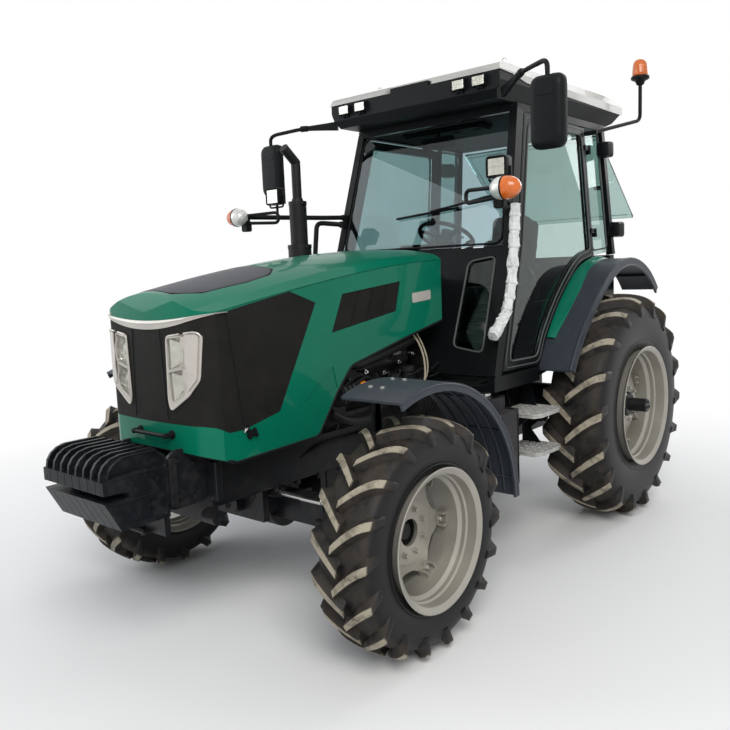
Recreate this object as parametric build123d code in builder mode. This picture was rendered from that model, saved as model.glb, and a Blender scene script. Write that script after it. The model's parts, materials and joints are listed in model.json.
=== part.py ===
from build123d import *
from math import cos, radians, sin
import os

# Farm tractor with a glazed cab, front-hinged weights and a three-point
# hitch. Millimetres. +Z is up, the nose points to -Y, the driver's left is
# +X, and the ground is z = 0. Every piece is drawn in place on the tractor.

os.makedirs("parts", exist_ok=True)

# ---- driving dimensions -------------------------------------------------
REAR_Y = 1200.0        # rear axle, along the tractor
WHEELBASE = 2450.0
FRONT_Y = REAR_Y - WHEELBASE
GAP = 0.3              # seat between bolted pieces
TURN = 0.08            # radial clearance of a turning shaft

# wheels: tyre radius, half width, bead radius, rim flange radius, half track
REAR_R, REAR_HALF, REAR_BEAD, REAR_FLANGE = 765.0, 210.0, 384.0, 406.0
FRONT_R, FRONT_HALF, FRONT_BEAD, FRONT_FLANGE = 550.0, 165.0, 308.0, 330.0
REAR_TRACK = 920.0
FRONT_TRACK = 965.0
RIM_PLATE = 9.0
SPINDLE_R = 38.0
SHAFT_R = 42.0
SHAFT_END = REAR_TRACK + 225     # free end of the rear bar axle
SHAFT_IN = REAR_TRACK - 440      # its end inside the axle trumpet
TYRE_FRONT = REAR_Y - REAR_R     # foremost point of the rear tyres

# steering
KINGPIN_X = FRONT_TRACK - 265
KINGPIN_R = 20.0
BEAM_LOW, BEAM_HIGH = 490.0, 620.0
YOKE_LOW, YOKE_HIGH = 458.0, 642.0
ROD_R = 14.0
ROD_Y = FRONT_Y - 150
ROD_Z = 665.0

# chassis
RAIL_IN, RAIL_OUT = 200.0, 250.0
RAIL_LOW, RAIL_HIGH = 700.0, 905.0
RAIL_NOSE = 580.0      # chassis front face ahead of the front axle
NOSE_Y = FRONT_Y - RAIL_NOSE
ENGINE_REAR = -260.0
ENGINE_LONG = 750.0
AXLE_BOX_FRONT = 960.0

# bonnet
HOOD_HALF = 400.0
HOOD_WALL = 8.0
HOOD_STEP = 5.0
HOOD_REAR = -147.0
HOOD_NOSE = FRONT_Y - 702

# cab, seen from the side; its sides lean in by LEAN for each mm of height
TUB_CLEAR = 10.0       # cab tub to the inner side of the rear tyres
TUB_HALF = REAR_TRACK - REAR_HALF - TUB_CLEAR
CAB_HALF = TUB_HALF + 65         # at CAB_LOW
CAB_LOW = 1100.0
CAB_TOP = 2720.0
LEAN = 0.075
DOOR_THICK = 42.0
DOOR_GAP = 8.0
PILLAR = 52.0          # width of the posts
POST_DEEP = 78.0       # depth of the front posts
HINGE_Y = 1325.0
HINGE_OUT = 16.0
HINGE_Z = (2 * REAR_R + 430, CAB_TOP - 180)
HINGE_R = 10.0
TUB_HIGH = 2 * REAR_R + 182      # top of the cab tub over the tyres
WALL_HIGH = 2 * REAR_R + 270     # top of its back wall
# (angle round the rear axle, distance outside the tyre) of the mudguard's
# outer face: foot, front arc, joint, top arc, tail; the door keeps above it
GUARD = ((157.4, 107), (132.4, 88), (113.1, 126.5), (78.7, 260), (49.8, 257))
GUARD_OUT = REAR_TRACK + 50      # its outer edge
DOOR_OVER = 24.0
DOOR_SILL = ((155.8, 105), (132.4, 88), (113.1, 126.5), (97.4, 203), (84.2, 247))
# (y, z) of the middle of each cab post, from its foot to its head
FRONT_POST = ((-128, 1110), (184, 1900), (398, CAB_TOP - 10))
REAR_POST = ((1664, WALL_HIGH + 4), (1650, WALL_HIGH + 150), (1622, CAB_TOP - 10))
MID_POST = ((1338, TUB_HIGH + 6), (1325, CAB_TOP - 10))

# three-point hitch: an exact parallelogram for each side
LINK_Y, LINK_Z = 1400.0, 560.0
ARM_Y, ARM_Z = 1430.0, 1050.0
LIFT_REACH = 430.0
LINK_LONG = 790.0
LINK_DROP = radians(6)
LINK_IN_X, LINK_OUT_X = 265.0, 412.0
BALL_BORE_R = 14.35
PIN_R = 12.0

WHEELS = (("left", 1), ("right", -1))


def side_x(z):
    """Outer face of the cab at a height."""
    return CAB_HALF - LEAN * (z - CAB_LOW)


def over_tyre(angle, clear):
    """(y, z) at an angle round the rear axle, so far outside the tyre."""
    reach = REAR_R + clear
    turn = radians(angle)
    return REAR_Y + reach * cos(turn), REAR_R + reach * sin(turn)


def on_post(post, z):
    """Where the middle of a cab post stands, along the tractor, at a height."""
    for (y0, z0), (y1, z1) in zip(post, post[1:]):
        if z <= z1 or z1 == post[-1][1]:
            return y0 + (y1 - y0) * (z - z0) / (z1 - z0)


def seat_on(post, z, half, deep):
    """Rear face of an upright pad seated on the front of a leaning post."""
    lean = (on_post(post, z + half) - on_post(post, z - half)) / (2 * half)
    return on_post(post, z - half) - deep / 2 * (1 + lean ** 2) ** 0.5 - GAP


def block(low, high, mode=Mode.ADD):
    """A box by two opposite corners."""
    centre = Vector(*low) + (Vector(*high) - Vector(*low)) / 2
    size = Vector(*high) - Vector(*low)
    with Locations(centre):
        Box(abs(size.X), abs(size.Y), abs(size.Z), mode=mode)


def rod(start, end, radius):
    """A round bar between two points."""
    line = Vector(*end) - Vector(*start)
    with BuildPart() as piece:
        with BuildSketch(Plane(origin=start, z_dir=line)):
            Circle(radius)
        extrude(amount=line.length)
    return piece.part


def bar(start, end, wide, deep):
    """A rectangular bar between two points; wide runs across the tractor."""
    line = Vector(*end) - Vector(*start)
    across = Vector(1, 0, 0)
    across = across - line.normalized() * across.dot(line.normalized())
    with BuildPart() as piece:
        with BuildSketch(Plane(origin=start, x_dir=across, z_dir=line)):
            Rectangle(wide, deep)
        extrude(amount=line.length)
    return piece.part


def slab(outline, low_x, high_x):
    """A side-view outline of (y, z) points, from one x to another."""
    with BuildPart() as piece:
        with BuildSketch(Plane.YZ.offset(low_x)):
            with BuildLine():
                Polyline(*outline, close=True)
            make_face()
        extrude(amount=high_x - low_x)
    return piece.part


def tube(points, radius):
    """A bent round tube through the points, mitred at each bend."""
    with BuildPart() as piece:
        with BuildLine() as path:
            Polyline(*points)
        with BuildSketch(Plane(origin=points[0], z_dir=path.line % 0)):
            Circle(radius)
        sweep(transition=Transition.RIGHT)
    return piece.part


def revolve_x(outline, centre):
    """Turn (along x, radius) points about the wheel axis through centre."""
    x, y, z = centre
    with BuildPart() as piece:
        with BuildSketch(Plane.XY) as section:
            with BuildLine():
                Polyline(*outline, close=True)
            make_face()
        revolve(axis=Axis.X)
    return piece.part.moved(Location((x, y, z)))


def out(part, name):
    part.label = name
    export_step(part, "parts/" + name + ".step")


# ---- chassis ------------------------------------------------------------
TRUNNION_R = 55.0
TRUNNION_Z = 600.0
BAR_Y = NOSE_Y - 222   # front face of the weight bar
BAR_DEEP = 40.0
with BuildPart() as front_frame:
    for side in (1, -1):
        inner, outer = side * RAIL_IN, side * RAIL_OUT
        block((inner, NOSE_Y, RAIL_LOW), (outer, ENGINE_REAR - 300, RAIL_HIGH))
        # arms that carry the weight bar
        low = (side * (RAIL_IN - 50), BAR_Y + BAR_DEEP, 735)
        block(low, (side * (RAIL_IN - 15), NOSE_Y, 930))
    block((-RAIL_OUT, NOSE_Y, 620), (RAIL_OUT, NOSE_Y + 30, 925))
    block((-RAIL_OUT, NOSE_Y, 880), (RAIL_OUT, FRONT_Y - 80, RAIL_HIGH))
    block((-250, BAR_Y + GAP, 760), (250, BAR_Y + BAR_DEEP, 975))
    # hangers for the axle's trunnion, ahead of and behind the beam
    for near, far in ((-230, -190), (190, 230)):
        block((-RAIL_IN, FRONT_Y + near, 520), (RAIL_IN, FRONT_Y + far, 760))
    with BuildSketch(Plane.XZ.offset(-FRONT_Y - 350)):
        with Locations((0, TRUNNION_Z)):
            Circle(TRUNNION_R + GAP)
    extrude(amount=650, mode=Mode.SUBTRACT)
out(front_frame.part, "front_frame")

# eight suitcase weights, side by side on the bar
WEIGHT_PITCH = 62.0
with BuildPart() as front_weights:
    with BuildSketch(Plane.YZ.offset(-248)):
        with BuildLine():
            # rack of eight: upper nose, waist, lower nose, foot, back, crest
            Polyline(
                (BAR_Y - 318, 955), (BAR_Y - 318, 890), (BAR_Y - 198, 884),
                (BAR_Y - 198, 860), (BAR_Y - 320, 857), (BAR_Y - 248, 722),
                (BAR_Y, 722), (BAR_Y, 1000), (BAR_Y - 58, 1045),
                (BAR_Y - 210, 1045),
            )
            ThreePointArc(
                (BAR_Y - 210, 1045), (BAR_Y - 286, 1020), (BAR_Y - 318, 955)
            )
        make_face()
    extrude(amount=496)
    for gap in range(-3, 4):
        x = gap * WEIGHT_PITCH
        low, high = (x - 7, BAR_Y - 350, 940), (x + 7, BAR_Y - 98, 1100)
        block(low, high, mode=Mode.SUBTRACT)
out(front_weights.part, "front_weights")

with BuildPart() as engine_block:
    half = RAIL_IN - GAP
    low = (-half, ENGINE_REAR - ENGINE_LONG, 560)
    block(low, (half, ENGINE_REAR, 1300))
out(engine_block.part, "engine_block")

with BuildPart() as driveline:
    block((-190, ENGINE_REAR + GAP, 500), (190, 330, 880))
    block((-165, 330, 480), (165, AXLE_BOX_FRONT, 860))
    block((-230, AXLE_BOX_FRONT, 500), (230, 1430, 985))
    for side in (1, -1):
        end = side * (REAR_TRACK - 348)
        inner = (end - side * 37, REAR_Y, REAR_R)
        add(rod((side * 200, REAR_Y, REAR_R), inner, 105))
        add(rod(inner, (end, REAR_Y, REAR_R), 140))
    # drawbar under the casing, with its clevis hole
    block((-45, 700, 400), (45, 1900, 432))
    block((-60, 1150, 432), (60, 1400, 500))
    with Locations((0, 1855, 416)):
        Cylinder(16, 60, mode=Mode.SUBTRACT)
    # ears for the top link, and bosses for the lower links and lift shaft
    for side in (1, -1):
        near, far = side * 28, side * 48
        block((near, 1430, 880), (far, 1520, 960))
        start, end = (side * 230, LINK_Y, LINK_Z), (side * 239, LINK_Y, LINK_Z)
        add(rod(start, end, 34))
        add(rod((side * 200, ARM_Y, ARM_Z), (side * 239, ARM_Y, ARM_Z), 40))
        block((side * 200, 1340, 960), (side * 230, 1470, 1090))
    # bores: half shafts, power take-off and link pins
    for side in (1, -1):
        with BuildSketch(Plane.YZ.offset(side * (SHAFT_IN - 15))):
            with Locations((REAR_Y, REAR_R)):
                Circle(SHAFT_R + TURN)
        extrude(amount=side * 200, mode=Mode.SUBTRACT)
    with BuildSketch(Plane.XZ.offset(-1500)):
        with Locations((0, 640)):
            Circle(22 + TURN)
    extrude(amount=150, mode=Mode.SUBTRACT)
    with BuildSketch(Plane.YZ):
        with Locations((1495, 920)):
            Circle(PIN_R + TURN)
    extrude(amount=60, both=True, mode=Mode.SUBTRACT)
    with BuildSketch(Plane.YZ):
        with Locations((LINK_Y, LINK_Z), (ARM_Y, ARM_Z)):
            Circle(PIN_R + TURN)
    extrude(amount=240, both=True, mode=Mode.SUBTRACT)
out(driveline.part, "driveline")

with BuildPart() as pto_shaft:
    with BuildSketch(Plane.XZ.offset(-1360)):
        with Locations((0, 640)):
            Circle(22)
    extrude(amount=-80)
    with BuildSketch(Plane.XZ.offset(-1440)):
        with Locations((0, 640)):
            Circle(17.5)
    extrude(amount=-90)
out(pto_shaft.part, "pto_shaft")

# ---- front axle and steering --------------------------------------------
with BuildPart() as front_axle:
    beam = KINGPIN_X - 100
    low, high = (-beam, FRONT_Y - 60, BEAM_LOW), (beam, FRONT_Y + 60, BEAM_HIGH)
    block(low, high)
    with BuildSketch(Plane.XZ.offset(-FRONT_Y - 235)):
        with Locations((0, TRUNNION_Z)):
            Circle(TRUNNION_R)
    extrude(amount=515)
    add(rod((-125, FRONT_Y, 545), (125, FRONT_Y, 545), 118))
    for side in (1, -1):
        near, far = side * (beam - 5), side * (KINGPIN_X + 35)
        block((near, FRONT_Y - 30, 430), (side * (beam + 25), FRONT_Y + 30, 672))
        block((near, FRONT_Y - 40, YOKE_HIGH), (far, FRONT_Y + 40, 672))
        block((near, FRONT_Y - 40, 430), (far, FRONT_Y + 40, YOKE_LOW))
        with Locations((side * KINGPIN_X, FRONT_Y, FRONT_R)):
            Cylinder(KINGPIN_R + TURN, 400, mode=Mode.SUBTRACT)
        # brackets of the steering cylinder
        low = (side * 150, ROD_Y - 10, BEAM_LOW + 60)
        block(low, (side * 175, FRONT_Y - 50, ROD_Z))
    add(rod((-240, ROD_Y, ROD_Z), (240, ROD_Y, ROD_Z), 31))
    add(rod((-260, ROD_Y, ROD_Z), (260, ROD_Y, ROD_Z), 24))
    with BuildSketch(Plane.YZ):
        with Locations((ROD_Y, ROD_Z)):
            Circle(ROD_R + TURN)
    extrude(amount=300, both=True, mode=Mode.SUBTRACT)
out(front_axle.part, "front_axle")

with BuildPart() as steering_rod:
    reach = KINGPIN_X - 100
    add(rod((-reach, ROD_Y, ROD_Z), (reach, ROD_Y, ROD_Z), ROD_R))
    with Locations((-reach, ROD_Y, ROD_Z), (reach, ROD_Y, ROD_Z)):
        Cylinder(20, 44)
out(steering_rod.part, "steering_rod")

guard_in = FRONT_TRACK - FRONT_HALF - 13
guard_wide = 2 * FRONT_HALF + 8
for name, side in WHEELS:
    pin = side * KINGPIN_X
    with BuildPart() as knuckle:
        with Locations((pin, FRONT_Y, FRONT_R)):
            Cylinder(KINGPIN_R, 260)
            Cylinder(44, YOKE_HIGH - YOKE_LOW - 4)
        hub = (side * (FRONT_TRACK - 150), FRONT_Y, FRONT_R)
        tip = (side * (FRONT_TRACK - 40), FRONT_Y, FRONT_R)
        add(rod((pin, FRONT_Y, FRONT_R), hub, 70))
        add(rod(hub, tip, SPINDLE_R))
        # steering arm, ahead of the pin
        start, end = (pin, FRONT_Y - 30, 600), (pin - side * 28, ROD_Y, 640)
        add(bar(start, end, 34, 30))
        with Locations((pin - side * 28, ROD_Y, ROD_Z - 15)):
            Cylinder(20, 60)
        # post that carries the mudguard
        low = (side * (guard_in - 27), FRONT_Y - 18, 560)
        block(low, (side * (guard_in - 1), FRONT_Y + 18, FRONT_R + 702))
    out(knuckle.part, "knuckle_" + name)

    # mudguard: a thin arch round the tyre, with a turned-down outer lip
    arch_from, arch_to = 2, 111
    with BuildPart() as front_fender:
        # inner and outer radius over the tyre, from x, how wide
        for inside, outside, start, wide in (
            (150, 162, guard_in, guard_wide),
            (122, 152, guard_in + guard_wide - 12, 12),
        ):
            with BuildSketch(Plane.YZ.offset(side * start)):
                with BuildLine():
                    for over in (inside, outside):
                        CenterArc(
                            (FRONT_Y, FRONT_R), FRONT_R + over,
                            arch_from, arch_to - arch_from,
                        )
                    for angle in (arch_from, arch_to):
                        c, s = cos(radians(angle)), sin(radians(angle))
                        near, far = FRONT_R + inside, FRONT_R + outside
                        Line(
                            (FRONT_Y + near * c, FRONT_R + near * s),
                            (FRONT_Y + far * c, FRONT_R + far * s),
                        )
                make_face()
            extrude(amount=side * wide)
        low = (side * (guard_in - 0.7), FRONT_Y - 18, FRONT_R + 665)
        block(low, (side * (guard_in + 9), FRONT_Y + 18, FRONT_R + 705))
    out(front_fender.part, "front_fender_" + name)

# ---- wheels -------------------------------------------------------------
# (along the axle from the wheel's middle, radius), tyre outside then inside
for name, side in WHEELS:
    for end in ("front", "rear"):
        front = end == "front"
        r = FRONT_R if front else REAR_R
        half = FRONT_HALF if front else REAR_HALF
        bead = FRONT_BEAD if front else REAR_BEAD
        flange = FRONT_FLANGE if front else REAR_FLANGE
        track = FRONT_TRACK if front else REAR_TRACK
        y = FRONT_Y if front else REAR_Y
        centre = (side * track, y, r)
        mid = (bead + r) / 2
        # carcass: tread, shoulder, sidewall and bead
        edge = 0.9 * half
        lip = edge - RIM_PLATE
        right = [
            (0.45 * half, r), (0.88 * half, r - 22), (0.97 * half, r - 60),
            (half, mid + 15), (0.98 * half, flange + 45),
            (lip - GAP, flange + 4), (lip - GAP, bead),
        ]
        inner = [
            (0.7 * half, bead), (0.72 * half, flange + 18),
            (0.86 * half, mid + 15), (0.83 * half, r - 78), (0.4 * half, r - 56),
        ]
        loop = right + inner
        mirrored = [(-a, b) for a, b in reversed(loop)]
        tyre = revolve_x(loop + mirrored, centre)
        out(tyre, end + "_tyre_" + name)

        # rim: two flanges, bead seats and a dropped middle
        seat = bead - GAP
        drop = bead - 34
        top = [
            (-edge, flange), (-lip + 0, flange), (-lip, seat),
            (-0.5 * half, seat), (-0.34 * half, drop + RIM_PLATE),
            (0.34 * half, drop + RIM_PLATE), (0.5 * half, seat),
            (lip, seat), (lip, flange), (edge, flange),
        ]
        under = [
            (edge, seat - RIM_PLATE), (0.5 * half + 6, seat - RIM_PLATE),
            (0.34 * half + 6, drop), (-0.34 * half - 6, drop),
            (-0.5 * half - 6, seat - RIM_PLATE), (-edge, seat - RIM_PLATE),
        ]
        with BuildPart() as rim:
            add(revolve_x(top + under, centre))
            if front:
                disc = [(s * side, q) for s, q in (
                    (-128, SPINDLE_R + TURN), (-128, 78), (-12, 78), (-6, 150),
                    (24, drop + 4), (36, drop + 4), (8, 150), (8, 60),
                    (2, 0.01), (-12, 0.01), (-12, SPINDLE_R + TURN),
                )]
            else:
                disc = [(s * side, q) for s, q in (
                    (-180, SHAFT_R - 0.5), (-180, 88), (-62, 88), (-62, 200),
                    (-36, drop + 4), (-22, drop + 4), (-48, 200), (-48, 88),
                    (-30, 70), (-30, SHAFT_R - 0.5),
                )]
            add(revolve_x(disc, centre))
            if not front:
                add(rod((side * SHAFT_IN, y, r), (side * SHAFT_END, y, r), SHAFT_R))
        out(rim.part, end + "_rim_" + name)

# ---- bonnet -------------------------------------------------------------
# the bonnet's ribs, nose to tail: place behind the nose, half width and
# height of the crown's edge, height of the crest, height of the side crease
HOOD_RIBS = (
    (-10, 325, 1618, 1697, 1592),
    (352, 342, 1688, 1766, 1652),
    (902, 350, 1775, 1843, 1732),
    (HOOD_REAR - HOOD_NOSE, 352, 1840, 1881, 1808),
)
CROWN_R = 45.0


def hood_rib(place, half, edge, crest, crease, inset):
    """One cross-section of the bonnet, moved in by inset."""
    side = HOOD_HALF - HOOD_STEP - inset
    with BuildSketch(Plane.XZ.offset(-HOOD_NOSE - place)) as rib:
        with BuildLine():
            right = [
                (side, 700), (side, crease - inset),
                (side + HOOD_STEP, crease + 4 - inset), (half, edge - inset),
            ]
            Polyline(*right)
            ThreePointArc(right[-1], (0, crest - inset), (-half, edge - inset))
            Polyline(*[(-x, z) for x, z in reversed(right)])
            Line((-side, 700), (side, 700))
        make_face()
        corners = [v for v in rib.vertices() if abs(abs(v.X) - half) < 1]
        fillet(corners, CROWN_R)
    return rib.sketch


def nose_plan(inset):
    """The bonnet seen from above: a bowed nose with wide corners."""
    half, front = HOOD_HALF + 2 - inset, HOOD_NOSE + inset
    with BuildSketch(Plane.XY.offset(690)) as plan:
        with BuildLine():
            ThreePointArc((-300, front + 14), (0, front - 3), (300, front + 14))
            for side in (1, -1):
                bend = (side * (half - 24), front + 66)
                ThreePointArc((side * 300, front + 14), bend, (side * half, front + 152))
                Line((side * half, front + 152), (side * half, HOOD_REAR))
            Line((-half, HOOD_REAR), (half, HOOD_REAR))
        make_face()
    return plan.sketch


def hood_shell(inset, floor, rear):
    """The bonnet's outside, moved in by inset, with its own lower edges."""
    with BuildPart() as solid:
        for place, half, edge, crest, crease in HOOD_RIBS:
            add(hood_rib(place, half, edge, crest, crease, inset))
        loft()
        with BuildPart(mode=Mode.INTERSECT):
            add(nose_plan(inset))
            extrude(amount=1400)
        with BuildPart(mode=Mode.INTERSECT):
            with BuildSketch(Plane.YZ.offset(-500)):
                with BuildLine():
                    Polyline(*floor)
                    lip = (HOOD_NOSE + inset - 3, 1612)
                    brow = (HOOD_NOSE + inset + 80, 1760 - inset)
                    Line(floor[-1], lip)
                    ThreePointArc(lip, (HOOD_NOSE + inset + 15, 1690 - inset), brow)
                    Line(brow, (rear, 1990))
                    Line((rear, 1990), floor[0])
                make_face()
            extrude(amount=1000)
    return solid.part


HOOD_FLOOR = (
    (HOOD_REAR, 1449), (HOOD_REAR - 349, 1380), (FRONT_Y + 265, 1273),
    (FRONT_Y + 148, 1150), (FRONT_Y - 2, 949), (HOOD_NOSE + 152, 930),
    (HOOD_NOSE - 3, 985),
)
HOOD_VOID = (
    (HOOD_REAR + 60, 1300), (HOOD_REAR - 349, 1200), (FRONT_Y + 265, 1100),
    (FRONT_Y - 2, 710), (HOOD_NOSE + 152, 710), (HOOD_NOSE + 3, 710),
)
# what the black grille fills on the side, and the lip that bounds it in front
GRILLE = tuple((HOOD_NOSE + y, z) for y, z in (
    (-148, 1110), (30, 1110), (73, 1100), (134, 1068), (220, 1068), (443, 1115),
    (720, 1616), (545, 1680), (150, 1611), (150, 1700), (-148, 1700),
))
LIP_ENDS, LIP_MIDDLE = 1611, 1577
# side vent and the pressed pocket below it: (y, z) corners
VENT = ((-1125, 1455), (-1033, 1648), (-544, 1695), (-590, 1530))
POCKET = ((-1345, 1135), (-1098, 1172), (-1125, 1285))
VENT_RIBS = (0.28, 0.52, 0.76)
# intake on top of the nose, seen from above: (x, y) of its right-hand edge
SCOOP = ((150, 48), (235, 152), (262, 400), (252, 560), (190, 640))
SCOOP_DEEP = 4.0
# headlight opening, seen from the front
LAMP = ((160, 1509), (340, 1531), (361, 1511), (344, 1317), (288, 1249), (163, 1171), (150, 1219))


def front_cut(outline, near, far):
    """A front-view outline of (x, z) points, from one y to another."""
    with BuildPart() as piece:
        with BuildSketch(Plane.XZ.offset(-near)):
            with BuildLine():
                Polyline(*outline, close=True)
            make_face()
        extrude(amount=near - far)
    return piece.part


with BuildPart() as grille_zone:
    add(slab(GRILLE, -500, 500))
    with BuildPart(mode=Mode.SUBTRACT):
        with BuildSketch(Plane.XZ.offset(-HOOD_NOSE - 150)):
            with BuildLine():
                ThreePointArc((-402, LIP_ENDS), (0, LIP_MIDDLE), (402, LIP_ENDS))
                Polyline((402, LIP_ENDS), (402, 1720), (-402, 1720), (-402, LIP_ENDS))
            make_face()
        extrude(amount=320)

with BuildPart() as bonnet_shell:
    add(hood_shell(0, HOOD_FLOOR, HOOD_REAR))
    outside = bonnet_shell.part
    void = hood_shell(HOOD_WALL, HOOD_VOID, HOOD_REAR + 60)
    add(void, mode=Mode.SUBTRACT)

# the space above the sunk intake, down to its floor
with BuildPart() as scoop_space:
    with BuildSketch(Plane.XY.offset(1600)):
        with BuildLine():
            right = [(x, HOOD_NOSE + y) for x, y in SCOOP]
            Polyline(*right, *[(-x, y) for x, y in reversed(right)], close=True)
        make_face()
    extrude(amount=400)
    add(outside.moved(Location((0, 0, -SCOOP_DEEP))), mode=Mode.SUBTRACT)


def along_vent(share, high):
    """A point on the vent, front to back and from its low to its high edge."""
    low_front, top_front, top_back, low_back = [Vector(*p) for p in VENT]
    low = low_front + (low_back - low_front) * share
    top = top_front + (top_back - top_front) * share
    point = low + (top - low) * high
    return point.X, point.Y


def vent_strip(start, end, low_x, high_x):
    """A slanted strip of the vent between two shares of its length."""
    corners = ((start, 0), (start, 1), (end, 1), (end, 0))
    return slab([along_vent(*c) for c in corners], low_x, high_x)


VENT_OUT = HOOD_HALF - HOOD_STEP
VENT_IN = VENT_OUT - HOOD_WALL
lamp_front, lamp_back = HOOD_NOSE + 162, HOOD_NOSE - 138
with BuildPart() as grille:
    add(bonnet_shell.part)
    add(grille_zone.part, mode=Mode.INTERSECT)
    for side in (1, -1):
        lamp = [(side * x, z) for x, z in LAMP]
        add(front_cut(lamp, lamp_front, lamp_back), mode=Mode.SUBTRACT)
        # side vent: a sunk plate with slanted ribs
        faces = sorted((side * VENT_IN, side * (VENT_IN + 3)))
        add(vent_strip(0, 1, *faces))
        faces = sorted((side * VENT_IN, side * (VENT_OUT - 1)))
        for share in VENT_RIBS:
            add(vent_strip(share, share + 0.035, *faces))
    with BuildPart():
        add(scoop_space.part)
        add(outside.moved(Location((0, 0, -1))), mode=Mode.INTERSECT)
out(grille.part, "grille")

with BuildPart() as headlights:
    add(outside)
    with BuildPart(mode=Mode.INTERSECT):
        for side in (1, -1):
            lamp = [(side * x, z) for x, z in LAMP]
            add(front_cut(lamp, lamp_front, lamp_back))
out(headlights.part, "headlights")

with BuildPart() as bonnet:
    add(bonnet_shell.part)
    add(grille_zone.part, mode=Mode.SUBTRACT)
    add(scoop_space.part, mode=Mode.SUBTRACT)
    for side in (1, -1):
        faces = sorted((side * (VENT_IN - 10), side * (VENT_OUT + 10)))
        add(slab(VENT, *faces), mode=Mode.SUBTRACT)
        faces = sorted((side * (VENT_IN + 3), side * (VENT_OUT + 10)))
        add(slab(POCKET, *faces), mode=Mode.SUBTRACT)
    # hinge knuckle at the back of the top, and the handle on the nose
    block((-90, HOOD_REAR - 60, 1806), (90, HOOD_REAR, 1876))
    add(rod((-118, HOOD_REAR - 30, 1838), (118, HOOD_REAR - 30, 1838), 8))
    for x in (-95, 150):
        add(rod((x, HOOD_NOSE + 4, 1060), (x, HOOD_NOSE - 48, 1060), 10))
    grip = HOOD_NOSE - 37
    add(rod((-95, grip, 1060), (150, grip, 1060), 8))
out(bonnet.part, "bonnet")

# ---- cab ----------------------------------------------------------------
SILL_END = TYRE_FRONT - 57
WINDOW_HALF = side_x(CAB_TOP) - 55.5
STAY_Z = CAB_TOP - 420


def hinge_at(side, z):
    return side * (side_x(z) + HINGE_OUT), HINGE_Y, z


with BuildPart() as cab_frame:
    for side in (1, -1):
        # post, how deep, how wide, how far its middle is inside the cab side
        for post, deep, wide, inset in (
            (FRONT_POST, POST_DEEP, PILLAR, PILLAR / 2),
            (REAR_POST, 46, PILLAR, PILLAR / 2),
            (MID_POST, 30, 24, 38),
        ):
            for (y0, z0), (y1, z1) in zip(post, post[1:]):
                x0 = side * (side_x(z0) - inset)
                x1 = side * (side_x(z1) - inset)
                add(bar((x0, y0, z0), (x1, y1, z1), wide, deep))
        # roof rail and sill
        x = side * (side_x(CAB_TOP) - PILLAR / 2)
        block((x - 26, 365, CAB_TOP - 20), (x + 26, 1645, CAB_TOP + 25))
        x = side * (side_x(CAB_LOW) - PILLAR / 2)
        block((x - 26, -167, 1062), (x + 26, SILL_END, 1118))
        # lugs for the rear window's stays
        low = (side * (WINDOW_HALF - 32), 1650, STAY_Z - 15)
        block(low, (side * (side_x(STAY_Z) - 45), 1661, STAY_Z + 15))
        # fixed halves of the door hinges, on one leaning line
        for z in HINGE_Z:
            x = side * (side_x(z) + HINGE_OUT)
            low = (side * (side_x(z) - 30), HINGE_Y + 2, z - 30)
            block(low, (x, HINGE_Y + 20, z - 1))
            add(rod(hinge_at(side, z - 30), hinge_at(side, z - 1), HINGE_R))
    high = side_x(CAB_TOP) - 3.5
    block((-high, 360, CAB_TOP - 20), (high, 430, CAB_TOP + 25))
    block((-high, 1600, CAB_TOP - 20), (high, 1645, CAB_TOP + 25))
out(cab_frame.part, "cab_frame")

# floor, wheel-well walls and back wall, one welded tub
TUB_TOP = tuple(over_tyre(a, c) for a, c in (
    (156.2, 66), (134.3, 66), (113.2, 100), (84.0, 187),
)) + ((1380, TUB_HIGH),)
TUB_IN = TUB_HALF - 28
FLOOR_END = TYRE_FRONT - 5
with BuildPart() as cab_floor:
    block((-TUB_HALF, -167, 1030), (TUB_HALF, FLOOR_END, 1062 - GAP))
    block((-CAB_HALF, -167, 1030), (CAB_HALF, SILL_END, 1062 - GAP))
    for side in (1, -1):
        wall = ((FLOOR_END - 30, 1062),) + TUB_TOP
        wall += ((1690, WALL_HIGH), (1690, 1215), (FLOOR_END, 1030))
        near, far = side * TUB_IN, side * TUB_HALF
        add(slab(wall, min(near, far), max(near, far)))
    block((-TUB_IN, FLOOR_END, 1030), (TUB_IN, FLOOR_END + 30, 1245))
    block((-TUB_IN, FLOOR_END, 1215), (TUB_IN, 1690, 1245))
    block((-TUB_IN, 1660, 1215), (TUB_IN, 1690, WALL_HIGH))
    # rubber mounts on the driveline
    for side in (1, -1):
        block((side * 100, 60, 880 + GAP), (side * 170, 130, 1032))
        block((side * 120, 1100, 985 + GAP), (side * 190, 1180, 1217))
out(cab_floor.part, "cab_floor")

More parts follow.
